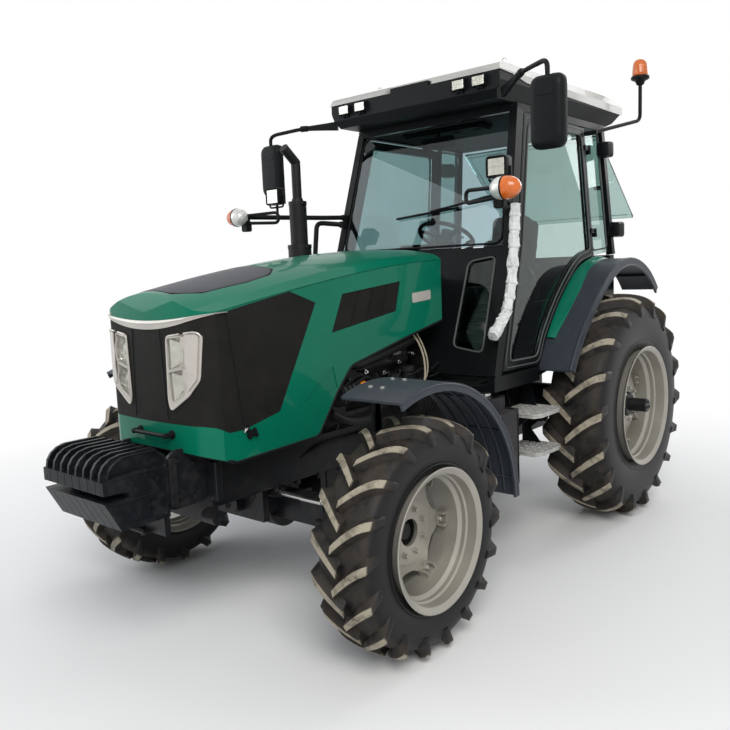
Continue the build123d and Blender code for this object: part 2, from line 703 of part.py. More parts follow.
# front wall: a leaning panel with a low window on each side of the bonnet
WALL_FOOT = Vector(0, -164, 1062)
WALL_HEAD = Vector(0, 150, 1872)
wall_up = WALL_HEAD - WALL_FOOT
wall_plane = Plane(
    origin=WALL_FOOT, x_dir=(1, 0, 0), z_dir=(0, -wall_up.Z, wall_up.Y)
)
HOOD_PIN = (HOOD_REAR - 30, 1838)
with BuildPart() as cab_front:
    high = wall_up.length
    with BuildSketch(wall_plane):
        with BuildLine():
            low = side_x(WALL_FOOT.Z) - PILLAR - 4.5
            top = side_x(WALL_HEAD.Z) - PILLAR - 0.3
            Polyline((-low, 60), (-top, high), (top, high), (low, 60), close=True)
        make_face()
        for side in (1, -1):
            with BuildLine():
                Polyline(
                    (side * (HOOD_HALF + 25), 230), (side * (low - 71), 200),
                    (side * (top - 43), high - 60),
                    (side * (HOOD_HALF + 25), high - 90), close=True,
                )
            make_face(mode=Mode.SUBTRACT)
    extrude(amount=-28)
    # ears that carry the bonnet's hinge
    for side in (1, -1):
        near, far = side * 92, side * 112
        block((near, HOOD_PIN[0] - 10, 1785), (far, 120, 1828))
        start = (near, HOOD_PIN[0], HOOD_PIN[1])
        add(rod(start, (far, HOOD_PIN[0], HOOD_PIN[1]), 15))
    with BuildSketch(Plane.YZ):
        with Locations(HOOD_PIN):
            Circle(8 + TURN)
    extrude(amount=130, both=True, mode=Mode.SUBTRACT)
out(cab_front.part, "cab_front")

# windscreen, between the upper front posts
GLASS = 6.0
screen_foot = Vector(0, 150, 1878)
screen_head = Vector(0, FRONT_POST[2][0] - 26, CAB_TOP - 23)
screen_up = screen_head - screen_foot
with BuildPart() as windscreen:
    with BuildSketch(
        Plane(origin=screen_foot, x_dir=(1, 0, 0),
              z_dir=(0, -screen_up.Z, screen_up.Y))
    ):
        with BuildLine():
            low = side_x(1878) - PILLAR - 2 * GAP
            high = side_x(CAB_TOP - 23) - PILLAR - 2 * GAP
            top = screen_up.length
            Polyline((-low, 0), (-high, top), (high, top), (low, 0), close=True)
        make_face()
    extrude(amount=-GLASS)
out(windscreen.part, "windscreen")

# doors and quarter glass lie in the leaning side plane
DOOR_ARC = [over_tyre(a, c + DOOR_OVER) for a, c in DOOR_SILL]
DOOR_TOP = CAB_TOP - 30
DOOR_EDGE = [DOOR_ARC[4]] + [(1296, DOOR_TOP)] + [
    (on_post(FRONT_POST, z) + 50, z) for z in (DOOR_TOP, 1900, 1140)
] + [DOOR_ARC[0]]
QUARTER = (
    (on_post(MID_POST, WALL_HIGH) + 15.5, WALL_HIGH),
    (on_post(REAR_POST, WALL_HIGH + 26) - 32, WALL_HIGH + 26),
    (on_post(REAR_POST, CAB_TOP - 26) - 34, CAB_TOP - 26),
    (on_post(MID_POST, CAB_TOP - 26) + 15.5, CAB_TOP - 26),
)


def side_plane(side):
    return Plane(
        origin=(side * CAB_HALF, 0, CAB_LOW),
        x_dir=(0, 1, 0), z_dir=(side, 0, LEAN),
    )


def on_side(points, side):
    """(y, z) points laid on the leaning plane, whose own up is mirrored."""
    return [(y, side * (z - CAB_LOW) * (1 + LEAN * LEAN / 2)) for y, z in points]


def door_outline(side):
    """The door's outside edge: straight sides, and arcs over the mudguard."""
    with BuildLine() as outline:
        Polyline(*on_side(DOOR_EDGE, side))
        a, b, c, d, e = on_side(DOOR_ARC, side)
        ThreePointArc(a, b, c)
        ThreePointArc(c, d, e)
    return outline.line


with BuildPart() as side_glass:
    for side in (1, -1):
        with BuildSketch(side_plane(side).offset(-38)):
            with BuildLine():
                Polyline(*on_side(QUARTER, side), close=True)
            make_face()
        extrude(amount=-GLASS)
out(side_glass.part, "side_glass")

for name, side in WHEELS:
    with BuildPart() as door_frame:
        with BuildSketch(side_plane(side)):
            with BuildLine():
                add(door_outline(side))
            make_face()
            offset(amount=-56, kind=Kind.INTERSECTION, mode=Mode.SUBTRACT)
        extrude(amount=-DOOR_THICK)
        # moving halves of the hinges
        for z in HINGE_Z:
            x = side * (side_x(z) + HINGE_OUT)
            low = (side * (side_x(z) - 8), HINGE_Y - 63, z)
            block(low, (x, HINGE_Y, z + 29))
            add(rod(hinge_at(side, z), hinge_at(side, z + 29), HINGE_R))
    out(door_frame.part, "door_frame_" + name)
    with BuildPart() as door_glass:
        with BuildSketch(side_plane(side).offset(-16)):
            with BuildLine():
                add(door_outline(side))
            make_face()
            offset(amount=-56 - GAP, kind=Kind.INTERSECTION, mode=Mode.REPLACE)
        extrude(amount=-GLASS)
    out(door_glass.part, "door_glass_" + name)

# rear window, held open on its two stays
window_top = Vector(0, 1678, CAB_TOP - 28)
window_end = Vector(0, 2355, 2112)
window_down = window_end - window_top
with BuildPart() as rear_window:
    with BuildSketch(
        Plane(origin=window_top, x_dir=(1, 0, 0),
              z_dir=(0, -window_down.Z, window_down.Y))
    ):
        drop = window_down.length
        with Locations((0, drop / 2)):
            Rectangle(2 * WINDOW_HALF, drop)
            Rectangle(2 * WINDOW_HALF - 60, drop - 60, mode=Mode.SUBTRACT)
    extrude(amount=-22)
    with BuildSketch(
        Plane(origin=window_top, x_dir=(1, 0, 0),
              z_dir=(0, -window_down.Z, window_down.Y)).offset(-8)
    ):
        with Locations((0, drop / 2)):
            Rectangle(2 * WINDOW_HALF - 46, drop - 46)
    extrude(amount=-GLASS)
    for side in (1, -1):
        x = side * (WINDOW_HALF - 22)
        low = window_top + window_down * 0.5
        add(rod((x, 1663, STAY_Z), (x, low.Y, low.Z - 26), 7))
out(rear_window.part, "rear_window")

ROOF_HALF = CAB_HALF - 90
ROOF_Z = CAB_TOP + 112
# front view of the cap's right half: (x, height over ROOF_Z)
ROOF_SIDE = ((ROOF_HALF, -32), (ROOF_HALF, 70), (ROOF_HALF - 14, 120))
ROOF_SHOULDER = (ROOF_HALF - 66, 176)
# plan of the step in the middle of the cap's front edge
ROOF_STEP = ((-215, 60), (215, 60), (165, 150), (-165, 150))
with BuildPart() as roof:
    # side view, cut to the arched front view
    with BuildSketch(Plane.YZ.offset(-ROOF_HALF)):
        with BuildLine():
            Polyline(
                (1905, ROOF_Z + 62), (1895, ROOF_Z + 16), (1800, ROOF_Z + 14),
                (430, ROOF_Z + 30), (250, ROOF_Z + 60), (108, ROOF_Z + 66),
                (112, ROOF_Z + 88), (130, ROOF_Z + 108),
            )
            crown = (1000, ROOF_Z + 226)
            ThreePointArc((130, ROOF_Z + 108), (540, ROOF_Z + 192), crown)
            ThreePointArc(crown, (1500, ROOF_Z + 198), (1905, ROOF_Z + 62))
        make_face()
    extrude(amount=2 * ROOF_HALF)
    with BuildSketch(Plane.XZ.offset(-50)):
        with BuildLine():
            right = [(x, ROOF_Z + z) for x, z in ROOF_SIDE + (ROOF_SHOULDER,)]
            Polyline(*right)
            ThreePointArc(right[-1], (0, ROOF_Z + 226), (-right[-1][0], right[-1][1]))
            Polyline(*[(-x, z) for x, z in reversed(right)], right[0])
        make_face()
    extrude(amount=-2000, mode=Mode.INTERSECT)
    with BuildSketch(Plane.XY.offset(ROOF_Z)):
        with BuildLine():
            Polyline(*ROOF_STEP, close=True)
        make_face()
    extrude(amount=150, mode=Mode.SUBTRACT)
out(roof.part, "roof")

VISOR_LAMPS = (-537, -394, 394, 537)
with BuildPart() as roof_visor:
    half = ROOF_HALF - 5
    foot = CAB_TOP + 25 + GAP
    with BuildSketch(Plane.YZ.offset(-half)):
        with BuildLine():
            Polyline(
                (112, ROOF_Z - 40), (150, foot), (1700, foot), (1790, foot + 30),
                (1870, ROOF_Z + 13), (1800, ROOF_Z + 14 - GAP),
                (430, ROOF_Z + 30 - GAP), (250, ROOF_Z + 60 - GAP),
                (112, ROOF_Z + 66 - GAP), close=True,
            )
        make_face()
    extrude(amount=2 * half)
    # raised middle of the front, behind the step in the cap
    block((-150, 118, ROOF_Z + 40), (150, 150 - GAP, ROOF_Z + 96))
    with BuildSketch(Plane.XZ.offset(-50)):
        with BuildLine():
            Polyline(
                (-half, ROOF_Z + 110), (-half, ROOF_Z + 10), (45 - half, foot - 5),
                (half - 45, foot - 5), (half, ROOF_Z + 10), (half, ROOF_Z + 110),
                close=True,
            )
        make_face()
    extrude(amount=-2000, mode=Mode.INTERSECT)
    for x in VISOR_LAMPS:
        block((x - 50, 92, ROOF_Z - 12), (x + 50, 130, ROOF_Z + 52))
out(roof_visor.part, "roof_visor")

# ---- rear mudguards -----------------------------------------------------
GUARD_IN = TUB_HALF + GAP
for name, side in WHEELS:
    with BuildPart() as rear_fender:
        # thickness towards the tyre, from x: the sheet, then its outer lip
        for deep, start in ((22, GUARD_IN), (55, GUARD_OUT - 12)):
            faces = [
                [over_tyre(angle, clear - sunk) for angle, clear in GUARD]
                for sunk in (0, deep)
            ]
            with BuildSketch(Plane.YZ.offset(side * start)):
                with BuildLine():
                    for a, b, c, d, e in faces:
                        ThreePointArc(a, b, c)
                        ThreePointArc(c, d, e)
                    Line(faces[0][0], faces[1][0])
                    Line(faces[0][4], faces[1][4])
                make_face()
            extrude(amount=side * (GUARD_OUT - start))
    out(rear_fender.part, "rear_fender_" + name)

# ---- outside fittings ---------------------------------------------------
with BuildPart() as mirrors:
    # head: x, y and height over CAB_TOP; then the arm's bends from its foot,
    # whose end rests on the visor's leaning side
    for head, arm in (
        ((1165, -262, -190), ((663.6, 160, 52), (900, -60, 80), (1165, -262, 70))),
        ((-1185, 0, -210), ((-655.8, 160, 52), (-900, 60, 56), (-1185, 0, 40))),
    ):
        grow = 1 if head[0] > 0 else -1
        grow = grow * (CAB_HALF - 765)
        x, y, z = head
        x, z = x + grow, CAB_TOP + z
        path = [(a + grow, b, CAB_TOP + c) for a, b, c in arm]
        # the glass side faces the driver, the shell narrows to the front
        for face, wide, high in ((-y - 35, 190, 370), (35 - y, 134, 304)):
            with BuildSketch(Plane.XZ.offset(face)):
                with Locations((x, z)):
                    RectangleRounded(wide, high, wide / 4)
        loft()
        add(bar(path[0], path[1], 46, 34))
        inside = (Vector(*path[0]) + Vector(*path[1])) / 2
        add(tube([inside, *path[1:], (x, y, z + 170)], 13))
out(mirrors.part, "mirrors")

LAMP_Z = 2140.0
with BuildPart() as lamp_arms:
    for side in (1, -1):
        seat = seat_on(FRONT_POST, LAMP_Z, 20, POST_DEEP)
        inner, outer = side_x(LAMP_Z) - 42, side_x(LAMP_Z) + 1
        low = (side * inner, seat - 17.5, LAMP_Z - 20)
        block(low, (side * outer, seat, LAMP_Z + 20))
        foot = (side * (outer - 20), seat - 13.5, LAMP_Z)
        knee = (side * (outer + 47), seat - 161.5, LAMP_Z)
        add(tube((foot, knee, (side * (outer + 297), -470, LAMP_Z + 10)), 16))
        with Locations((side * (outer + 352), -483, LAMP_Z + 10)):
            Sphere(52)
        x = side * (outer + 192)
        add(rod((x, -256, LAMP_Z), (x, -256, LAMP_Z + 100), 9))
        block((x - 55, -290, LAMP_Z + 96), (x + 55, -225, LAMP_Z + 196))
out(lamp_arms.part, "lamp_arms")

MAST_Z = CAB_TOP - 65
with BuildPart() as beacon:
    foot = Vector(side_x(MAST_Z) + 28, on_post(MID_POST, MAST_Z) + 6, MAST_Z)
    block(tuple(foot - (52.5, 14, 15)), tuple(foot + (14, 8, 15)))
    knee = foot + (124, 603, 140)
    lamp = knee + (0, 0, 283)
    add(tube((tuple(foot), tuple(knee), tuple(knee + (0, 0, 271))), 13))
    # cup, then the dome
    for lift, radius, tall in ((0, 66, 40), (72, 56, 110)):
        with Locations(lamp + (0, 0, lift)):
            Cylinder(radius, tall)
    with Locations(lamp + (0, 0, 112)):
        Sphere(48)
out(beacon.part, "beacon")

RAIL_PATH = (
    (800, 45, 2110), (800, 20, 1930), (800, -10, 1690), (800, -75, 1507),
    (800, -150, 1430), (800, -235, 1365),
)
with BuildPart() as grab_rails:
    for side in (1, -1):
        path = [(side * x, y, z) for x, y, z in RAIL_PATH]
        ends = []
        for z in (2090, 1345):
            x, seat = side_x(z) - 23, seat_on(FRONT_POST, z, 20, POST_DEEP)
            low = (side * (x - 22), seat - 22.5, z - 20)
            block(low, (side * (x + 22), seat, z + 20))
            ends.append((side * x, seat - 14.5, z))
        head, foot = ends
        add(tube([head] + path + [foot], 17))
out(grab_rails.part, "grab_rails")

with BuildPart() as fuel_tanks:
    for side in (1, -1):
        with BuildSketch(Plane.XY.offset(460)):
            with Locations((side * 645, -95)):
                RectangleRounded(350, 270, 45)
        extrude(amount=450)
        with Locations((side * 660, -85, 945)):
            Cylinder(105, 90)
        with Locations((side * 660, -110, 1005)):
            Cylinder(38, 40)
        for y in (-180, -40):
            block((side * (190 + GAP), y, 740), (side * 480, y + 40, 790))
out(fuel_tanks.part, "fuel_tanks")

with BuildPart() as steps:
    for side in (1, -1):
        near, far = side * (CAB_HALF - 125), side * (CAB_HALF + 155)
        rear = TYRE_FRONT - 40
        block((near, 60, 845), (far, rear, 872))
        block((near, 76, 608), (far, rear, 635))
        for y in (60, rear - 60):
            block((near, y, 600), (near + side * 12, y + 50, 1030 - GAP))
out(steps.part, "steps")

STACK_X, STACK_Y = -515.0, -420.0
with BuildPart() as exhaust:
    inlet = (-RAIL_IN, STACK_Y, 1200)
    add(rod(inlet, (STACK_X, STACK_Y, 1200), 38))
    # from height, to height, radius
    for low, high, radius in (
        (1160, 1540, 38), (1540, 1940, 75), (1940, 2210, 56), (2210, 2460, 30),
    ):
        add(rod((STACK_X, STACK_Y, low), (STACK_X, STACK_Y, high), radius))
    bend = (STACK_X, STACK_Y, 2460)
    add(tube(((STACK_X, STACK_Y, 2400), bend, (STACK_X, -520, 2545)), 30))
out(exhaust.part, "exhaust")

# ---- inside the cab -----------------------------------------------------
with BuildPart() as seat:
    block((-170, 930, 1245 + GAP), (170, 1260, 1470))
    block((-245, 850, 1470), (245, 1330, 1600))
    add(bar((0, 1300, 1560), (0, 1420, 2130), 470, 110))
    for side in (1, -1):
        block((side * 250, 930, 1700), (side * 320, 1260, 1760))
        block((side * 245, 1180, 1560), (side * 275, 1260, 1760))
out(seat.part, "seat")

COLUMN = Vector(0, 0.5, 0.866)
wheel_at = Vector(0, 500, 1965)
with BuildPart() as dashboard:
    block((-170, 40, 1061.7 + GAP), (170, FLOOR_END - 130, 1330))
    block((-190, 158, 1330), (190, FLOOR_END - 100, 1800))
    foot = wheel_at - COLUMN * 300
    tip = wheel_at - COLUMN * 40.5
    add(rod(tuple(foot), tuple(tip), 40))
out(dashboard.part, "dashboard")

with BuildPart() as steering_wheel:
    with Locations(Plane(origin=wheel_at, x_dir=(1, 0, 0), z_dir=COLUMN).location):
        Torus(190, 14)
        Cylinder(45, 80)
        with PolarLocations(0, 3, start_angle=90):
            with Locations((100, 0, 0)):
                Box(176, 30, 12)
out(steering_wheel.part, "steering_wheel")

# ---- three-point hitch --------------------------------------------------
along = (cos(LINK_DROP), -sin(LINK_DROP))


def on_link(y, z, reach):
    return y + reach * along[0], z + reach * along[1]


ball_y, ball_z = on_link(LINK_Y, LINK_Z, LINK_LONG)
link_y, link_z = on_link(LINK_Y, LINK_Z, LIFT_REACH)
arm_y, arm_z = on_link(ARM_Y, ARM_Z, LIFT_REACH)
with BuildPart() as lower_links:
    for side in (1, -1):
        add(rod((side * 200, LINK_Y, LINK_Z), (side * 290, LINK_Y, LINK_Z), PIN_R))
        add(rod((side * 240, LINK_Y, LINK_Z), (side * 290, LINK_Y, LINK_Z), 33))
        start = (side * LINK_IN_X, LINK_Y, LINK_Z)
        end = (side * LINK_OUT_X, ball_y, ball_z)
        add(bar(start, end, 28, 60))
        near, far = side * (LINK_OUT_X - 22.5), side * (LINK_OUT_X + 22.5)
        add(rod((near, ball_y, ball_z), (far, ball_y, ball_z), 36))
    with BuildSketch(Plane.YZ):
        with Locations((ball_y, ball_z)):
            Circle(BALL_BORE_R)
    extrude(amount=500, both=True, mode=Mode.SUBTRACT)
out(lower_links.part, "lower_links")

with BuildPart() as lift_arms:
    for side in (1, -1):
        add(rod((side * 200, ARM_Y, ARM_Z), (side * 264, ARM_Y, ARM_Z), PIN_R))
        add(rod((side * 240, ARM_Y, ARM_Z), (side * 264, ARM_Y, ARM_Z), 45))
        start, end = (side * 252, ARM_Y, ARM_Z), (side * 252, arm_y, arm_z)
        add(bar(start, end, 24, 56))
        add(rod((side * 240, arm_y, arm_z), (side * 264, arm_y, arm_z), 34))
        add(rod((side * 250, arm_y, arm_z), (side * 300, arm_y, arm_z), PIN_R))
out(lift_arms.part, "lift_arms")

with BuildPart() as lift_rods:
    for side in (1, -1):
        eye, end = (side * 284, arm_y, arm_z), (side * 345, link_y, link_z)
        line = Vector(*end) - Vector(*eye)
        stop = Vector(*end) - line.normalized() * 44
        add(rod(eye, tuple(stop), 17))
        add(rod((side * 268, arm_y, arm_z), (side * 298, arm_y, arm_z), 30))
    with BuildSketch(Plane.YZ):
        with Locations((arm_y, arm_z)):
            Circle(PIN_R + TURN)
    extrude(amount=400, both=True, mode=Mode.SUBTRACT)
out(lift_rods.part, "lift_rods")

TOP_Y, TOP_Z, TOP_LONG = 1495.0, 920.0, 560.0
top_end_y = TOP_Y + TOP_LONG * cos(radians(20))
top_end_z = TOP_Z + TOP_LONG * sin(radians(20))
with BuildPart() as top_link:
    add(rod((-60, TOP_Y, TOP_Z), (60, TOP_Y, TOP_Z), PIN_R))
    add(rod((-26, TOP_Y, TOP_Z), (26, TOP_Y, TOP_Z), 28))
    add(rod((0, TOP_Y, TOP_Z), (0, top_end_y, top_end_z), 20))
    start, end = (-25.5, top_end_y, top_end_z), (25.5, top_end_y, top_end_z)
    add(rod(start, end, 32))
    with BuildSketch(Plane.YZ):
        with Locations((top_end_y, top_end_z)):
            Circle(12.8)
    extrude(amount=60, both=True, mode=Mode.SUBTRACT)
out(top_link.part, "top_link")
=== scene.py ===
# %% [markdown]
# # A farm tractor, finished on top of its CAD frame
# The CAD model already says how large every part is and how it moves. This
# script loads it, gives each part the finish it has on the real machine, and
# builds what a CAD model leaves out: the lugs on the tyres, the mesh of the
# grille, the lamps' reflectors, seals, bolts and hoses.

# %% Load the CAD frame
import json
from math import atan2, cos, exp, hypot, pi, radians, sin
import random

import bmesh
import bpy
from mathutils import Matrix, Vector, noise
from mathutils.bvhtree import BVHTree
from mathutils.geometry import tessellate_polygon

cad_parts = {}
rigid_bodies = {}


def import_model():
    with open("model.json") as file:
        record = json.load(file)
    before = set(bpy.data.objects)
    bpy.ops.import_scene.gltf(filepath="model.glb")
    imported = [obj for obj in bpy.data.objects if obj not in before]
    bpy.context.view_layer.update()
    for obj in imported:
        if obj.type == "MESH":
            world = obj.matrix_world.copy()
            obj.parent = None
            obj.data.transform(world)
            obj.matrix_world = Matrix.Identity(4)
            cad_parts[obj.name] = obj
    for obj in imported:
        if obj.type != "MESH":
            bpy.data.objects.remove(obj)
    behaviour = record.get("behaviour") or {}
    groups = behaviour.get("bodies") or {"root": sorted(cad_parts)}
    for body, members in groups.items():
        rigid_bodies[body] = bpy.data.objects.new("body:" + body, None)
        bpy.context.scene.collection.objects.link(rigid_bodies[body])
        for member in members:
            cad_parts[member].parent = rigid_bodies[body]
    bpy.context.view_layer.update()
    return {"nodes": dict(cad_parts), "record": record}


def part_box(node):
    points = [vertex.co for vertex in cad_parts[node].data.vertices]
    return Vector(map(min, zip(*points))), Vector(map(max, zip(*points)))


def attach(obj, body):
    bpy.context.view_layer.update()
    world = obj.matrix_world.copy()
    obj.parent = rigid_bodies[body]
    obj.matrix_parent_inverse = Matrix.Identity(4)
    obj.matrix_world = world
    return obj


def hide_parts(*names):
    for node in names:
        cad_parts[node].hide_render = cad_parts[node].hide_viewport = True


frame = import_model()
nodes = frame["nodes"]

# %% [markdown]
# The camera stands in front of the tractor's left headlight, a little above
# head height, and looks slightly down. A camera can be aimed with a Track To
# constraint, or with three Euler angles. Here its three axes are built from a
# turn, a dip and a small tilt, which keeps the tilt of a hand-held shot easy
# to read and to change.

# %% Camera
turn, dip, tilt = 0.7118, 0.1258, -0.0407
back = Vector((sin(turn) * cos(dip), -cos(turn) * cos(dip), sin(dip)))
level = Vector((cos(turn), sin(turn), 0))
upright = back.cross(level)
right_axis = cos(tilt) * level + sin(tilt) * upright
up_axis = cos(tilt) * upright - sin(tilt) * level
camera = bpy.data.objects.new("camera", bpy.data.cameras.new("camera"))
bpy.context.scene.collection.objects.link(camera)
camera.matrix_world = Matrix.Translation((3.0505, -3.9549, 1.7745)) @ Matrix(
    (right_axis, up_axis, back)
).transposed().to_4x4()
camera.data.lens = 37.7
camera.data.clip_end = 100
bpy.context.scene.camera = camera
bpy.context.scene.view_settings.view_transform = "Standard"
print("camera at", [round(v, 2) for v in camera.location])

# %% [markdown]
# The studio is a pale floor, a white sky and three large soft lamps. A small
# lamp would draw hard shadows and tiny highlights; a large one lights paint
# and glass the way an overcast sky does. Camera, mirror and see-through rays
# meet a plain white world, so paint and glass reflect a clean background,
# while the light that falls on the tractor stays at a moderate level.

# %% Studio
def add_node(tree, kind, sources=(), **settings):
    """A node with its settings. Each input takes a value, a socket, or a node's first output."""
    node = tree.nodes.new("ShaderNode" + kind)
    for key, value in settings.items():
        setattr(node, key, value)
    for socket, source in sources:
        if isinstance(source, bpy.types.Node):
            source = source.outputs[0]
        if isinstance(source, bpy.types.NodeSocket):
            tree.links.new(source, node.inputs[socket])
        else:
            node.inputs[socket].default_value = source
    return node


def calc(tree, operation, *values, **settings):
    """A Math node on one or two values."""
    return add_node(tree, "Math", enumerate(values), operation=operation, **settings)


def seen_directly(tree):
    """1 for camera, mirror and see-through rays, 0 for the light that falls on things."""
    ray = add_node(tree, "LightPath").outputs
    either = calc(tree, "MAXIMUM", ray["Is Camera Ray"], ray["Is Glossy Ray"])
    return calc(tree, "MAXIMUM", either, ray["Is Transmission Ray"])


world = bpy.data.worlds.new("studio")
bpy.context.scene.world = world
world.use_nodes = True
tree = world.node_tree
tree.nodes.clear()
sky = add_node(tree, "Background", [("Color", (0.93, 0.96, 1.0, 1)), ("Strength", 0.45)])
plain = add_node(tree, "Background", [("Color", (1, 1, 1, 1)), ("Strength", 1.0)])
choose = add_node(tree, "MixShader", [(0, seen_directly(tree)), (1, sky), (2, plain)])
add_node(tree, "OutputWorld", [("Surface", choose)])


def soft_lamp(name, place, aim, width, watts, colour=(1, 1, 1)):
    """A square soft lamp that faces the point it is aimed at."""
    data = bpy.data.lights.new(name, "AREA")
    data.size = width
    data.energy = watts
    data.color = colour
    lamp = bpy.data.objects.new(name, data)
    bpy.context.scene.collection.objects.link(lamp)
    lamp.location = place
    lamp.rotation_euler = (Vector(place) - Vector(aim)).to_track_quat("Z", "Y").to_euler()
    return lamp


soft_lamp("key_lamp", (5.5, -5.5, 6.5), (0, 0, 1.2), 4.5, 520, (1, 0.985, 0.96))
soft_lamp("fill_lamp", (-6.0, -4.5, 4.0), (0, 0, 1.2), 5.0, 170, (0.93, 0.97, 1))
soft_lamp("rear_lamp", (1.0, 7.0, 5.5), (0, 0, 1.4), 5.0, 240)
print("studio has", len(bpy.data.lights), "lamps")

# %% [markdown]
# The floor is one large sheet. Near the tractor it is a pale matt surface that
# takes its shadow. Further out it fades to plain white for the camera and for
# mirror rays, so no horizon line cuts through the picture. The fade is a mask
# made from the distance to the middle of the tractor.

# %% Floor
floor_mesh = bpy.data.meshes.new("floor")
floor_mesh.from_pydata([(-40, -40, 0), (40, -40, 0), (40, 40, 0), (-40, 40, 0)], [], [(0, 1, 2, 3)])
floor = bpy.data.objects.new("floor", floor_mesh)
bpy.context.scene.collection.objects.link(floor)
floor_finish = bpy.data.materials.new("pale_floor")
floor_finish.use_nodes = True
tree = floor_finish.node_tree
tree.nodes.clear()
place = add_node(tree, "TexCoord").outputs["Object"]
away = add_node(tree, "VectorMath", [(0, place)], operation="LENGTH").outputs["Value"]
fade = add_node(tree, "MapRange", [("Value", away), ("From Min", 2.2), ("From Max", 5.2)])
both = calc(tree, "MULTIPLY", fade, seen_directly(tree))
matt = add_node(tree, "BsdfDiffuse", [("Color", (0.86, 0.86, 0.86, 1))])
white = add_node(tree, "Emission", [("Strength", 1.0)])
floor_mix = add_node(tree, "MixShader", [(0, both), (1, matt), (2, white)])
add_node(tree, "OutputMaterial", [("Surface", floor_mix)])
floor_mesh.materials.append(floor_finish)
print("floor fades to white from 2.2 m to 5.2 m out")

# %% [markdown]
# Finishes come next. Each one is a Principled shader whose plain values sit on
# its own sockets, fed by a few shared effects. An effect is a node group with
# named inputs, so one fix to the group improves every finish that uses it.
# This helper starts a group; the node helpers above put nodes into it. Each
# effect then ends by feeding its outputs.

# %% Helper for effects
def start_effect(name, inputs, outputs):
    """A new node group: inputs are (name, kind, value), outputs are (name, kind)."""
    group = bpy.data.node_groups.new(name, "ShaderNodeTree")
    for label, kind, value in inputs:
        socket = group.interface.new_socket(label, in_out="INPUT", socket_type="NodeSocket" + kind)
        socket.default_value = value
    for label, kind in outputs:
        group.interface.new_socket(label, in_out="OUTPUT", socket_type="NodeSocket" + kind)
    return group, group.nodes.new("NodeGroupInput"), group.nodes.new("NodeGroupOutput")


print("effect helper ready")

# %% [markdown]
# Mottle varies a colour. No painted or moulded surface is one flat colour:
# sprayed coats differ in thickness and plastic fades unevenly. The group mixes
# the colour with a darker and a lighter copy of itself by two sizes of noise.

# %% Effect: mottle
mottle, g_in, g_out = start_effect("mottle", [("Colour", "Color", (0.5, 0.5, 0.5, 1)), ("Amount", "Float", 0.2),
    ("Scale", "Float", 6.0)], [("Colour", "Color"), ("Mask", "Float")])
where = add_node(mottle, "TexCoord").outputs["Object"]
wide = add_node(mottle, "TexNoise", [("Vector", where), ("Scale", g_in.outputs["Scale"]), ("Detail", 5.0)])
stretch = add_node(
    mottle, "MapRange",
    [("Value", wide.outputs["Fac"]), ("From Min", 0.32), ("From Max", 0.68), ("To Min", -1.0), ("To Max", 1.0)],
)
swing = calc(mottle, "MULTIPLY", stretch, g_in.outputs["Amount"])
gain = calc(mottle, "ADD", swing, 1.0)
tinted = add_node(mottle, "VectorMath", [(0, g_in.outputs["Colour"]), (1, gain)], operation="MULTIPLY")
mottle.links.new(tinted.outputs[0], g_out.inputs["Colour"])
mottle.links.new(stretch.outputs[0], g_out.inputs["Mask"])
print("effect:", mottle.name)

# %% [markdown]
# Dust settles where it can lie. The mask grows with how far a surface faces
# up and with how near the ground it is, and breaks up with noise. The colour
# is mixed towards dry earth, and the same mask raises the roughness.

# %% Effect: dust
dust, g_in, g_out = start_effect("dust", [("Colour", "Color", (0.5, 0.5, 0.5, 1)),
    ("Dust Colour", "Color", (0.3, 0.25, 0.19, 1)), ("Amount", "Float", 0.3), ("Fade Height", "Float", 1.6),
    ("Roughness", "Float", 0.5)], [("Colour", "Color"), ("Mask", "Float"), ("Roughness", "Float")])
where = add_node(dust, "TexCoord").outputs["Object"]
facing = add_node(dust, "NewGeometry").outputs["Normal"]
up_part = add_node(dust, "SeparateXYZ", [(0, facing)]).outputs["Z"]
lying = add_node(
    dust, "MapRange",
    [("Value", up_part), ("From Min", -0.2), ("From Max", 1.0), ("To Min", 0.25), ("To Max", 1.0)],
)
height = add_node(dust, "SeparateXYZ", [(0, where)]).outputs["Z"]
low = add_node(
    dust, "MapRange",
    [("Value", height), ("From Min", g_in.outputs["Fade Height"]), ("From Max", 0.2), ("To Min", 0.15)],
)
patches = add_node(dust, "TexNoise", [("Vector", where), ("Scale", 9.0), ("Detail", 8.0), ("Roughness", 0.65)])
broken = add_node(
    dust, "MapRange", [("Value", patches.outputs["Fac"]), ("From Min", 0.35), ("From Max", 0.75)]
)
first = calc(dust, "MULTIPLY", lying, low)
second = calc(dust, "MULTIPLY", first, broken)
mask = calc(dust, "MULTIPLY", second, g_in.outputs["Amount"], use_clamp=True)
mixed = add_node(dust, "Mix", [("Factor", mask), (6, g_in.outputs["Colour"]), (7, g_in.outputs["Dust Colour"])],
    data_type="RGBA")
rougher = add_node(dust, "Mix", [("Factor", mask), (2, g_in.outputs["Roughness"]), (3, 0.9)])
dust.links.new(mixed.outputs[2], g_out.inputs["Colour"])
dust.links.new(mask.outputs[0], g_out.inputs["Mask"])
dust.links.new(rougher.outputs[0], g_out.inputs["Roughness"])
print("effect:", dust.name)

# %% [markdown]
# Grain is the fine relief of a finish: the orange peel of sprayed paint, the
# leather-like texture of moulded plastic, the sand skin of cast iron. One
# group gives all three, as a height that feeds a Bump node in the material.

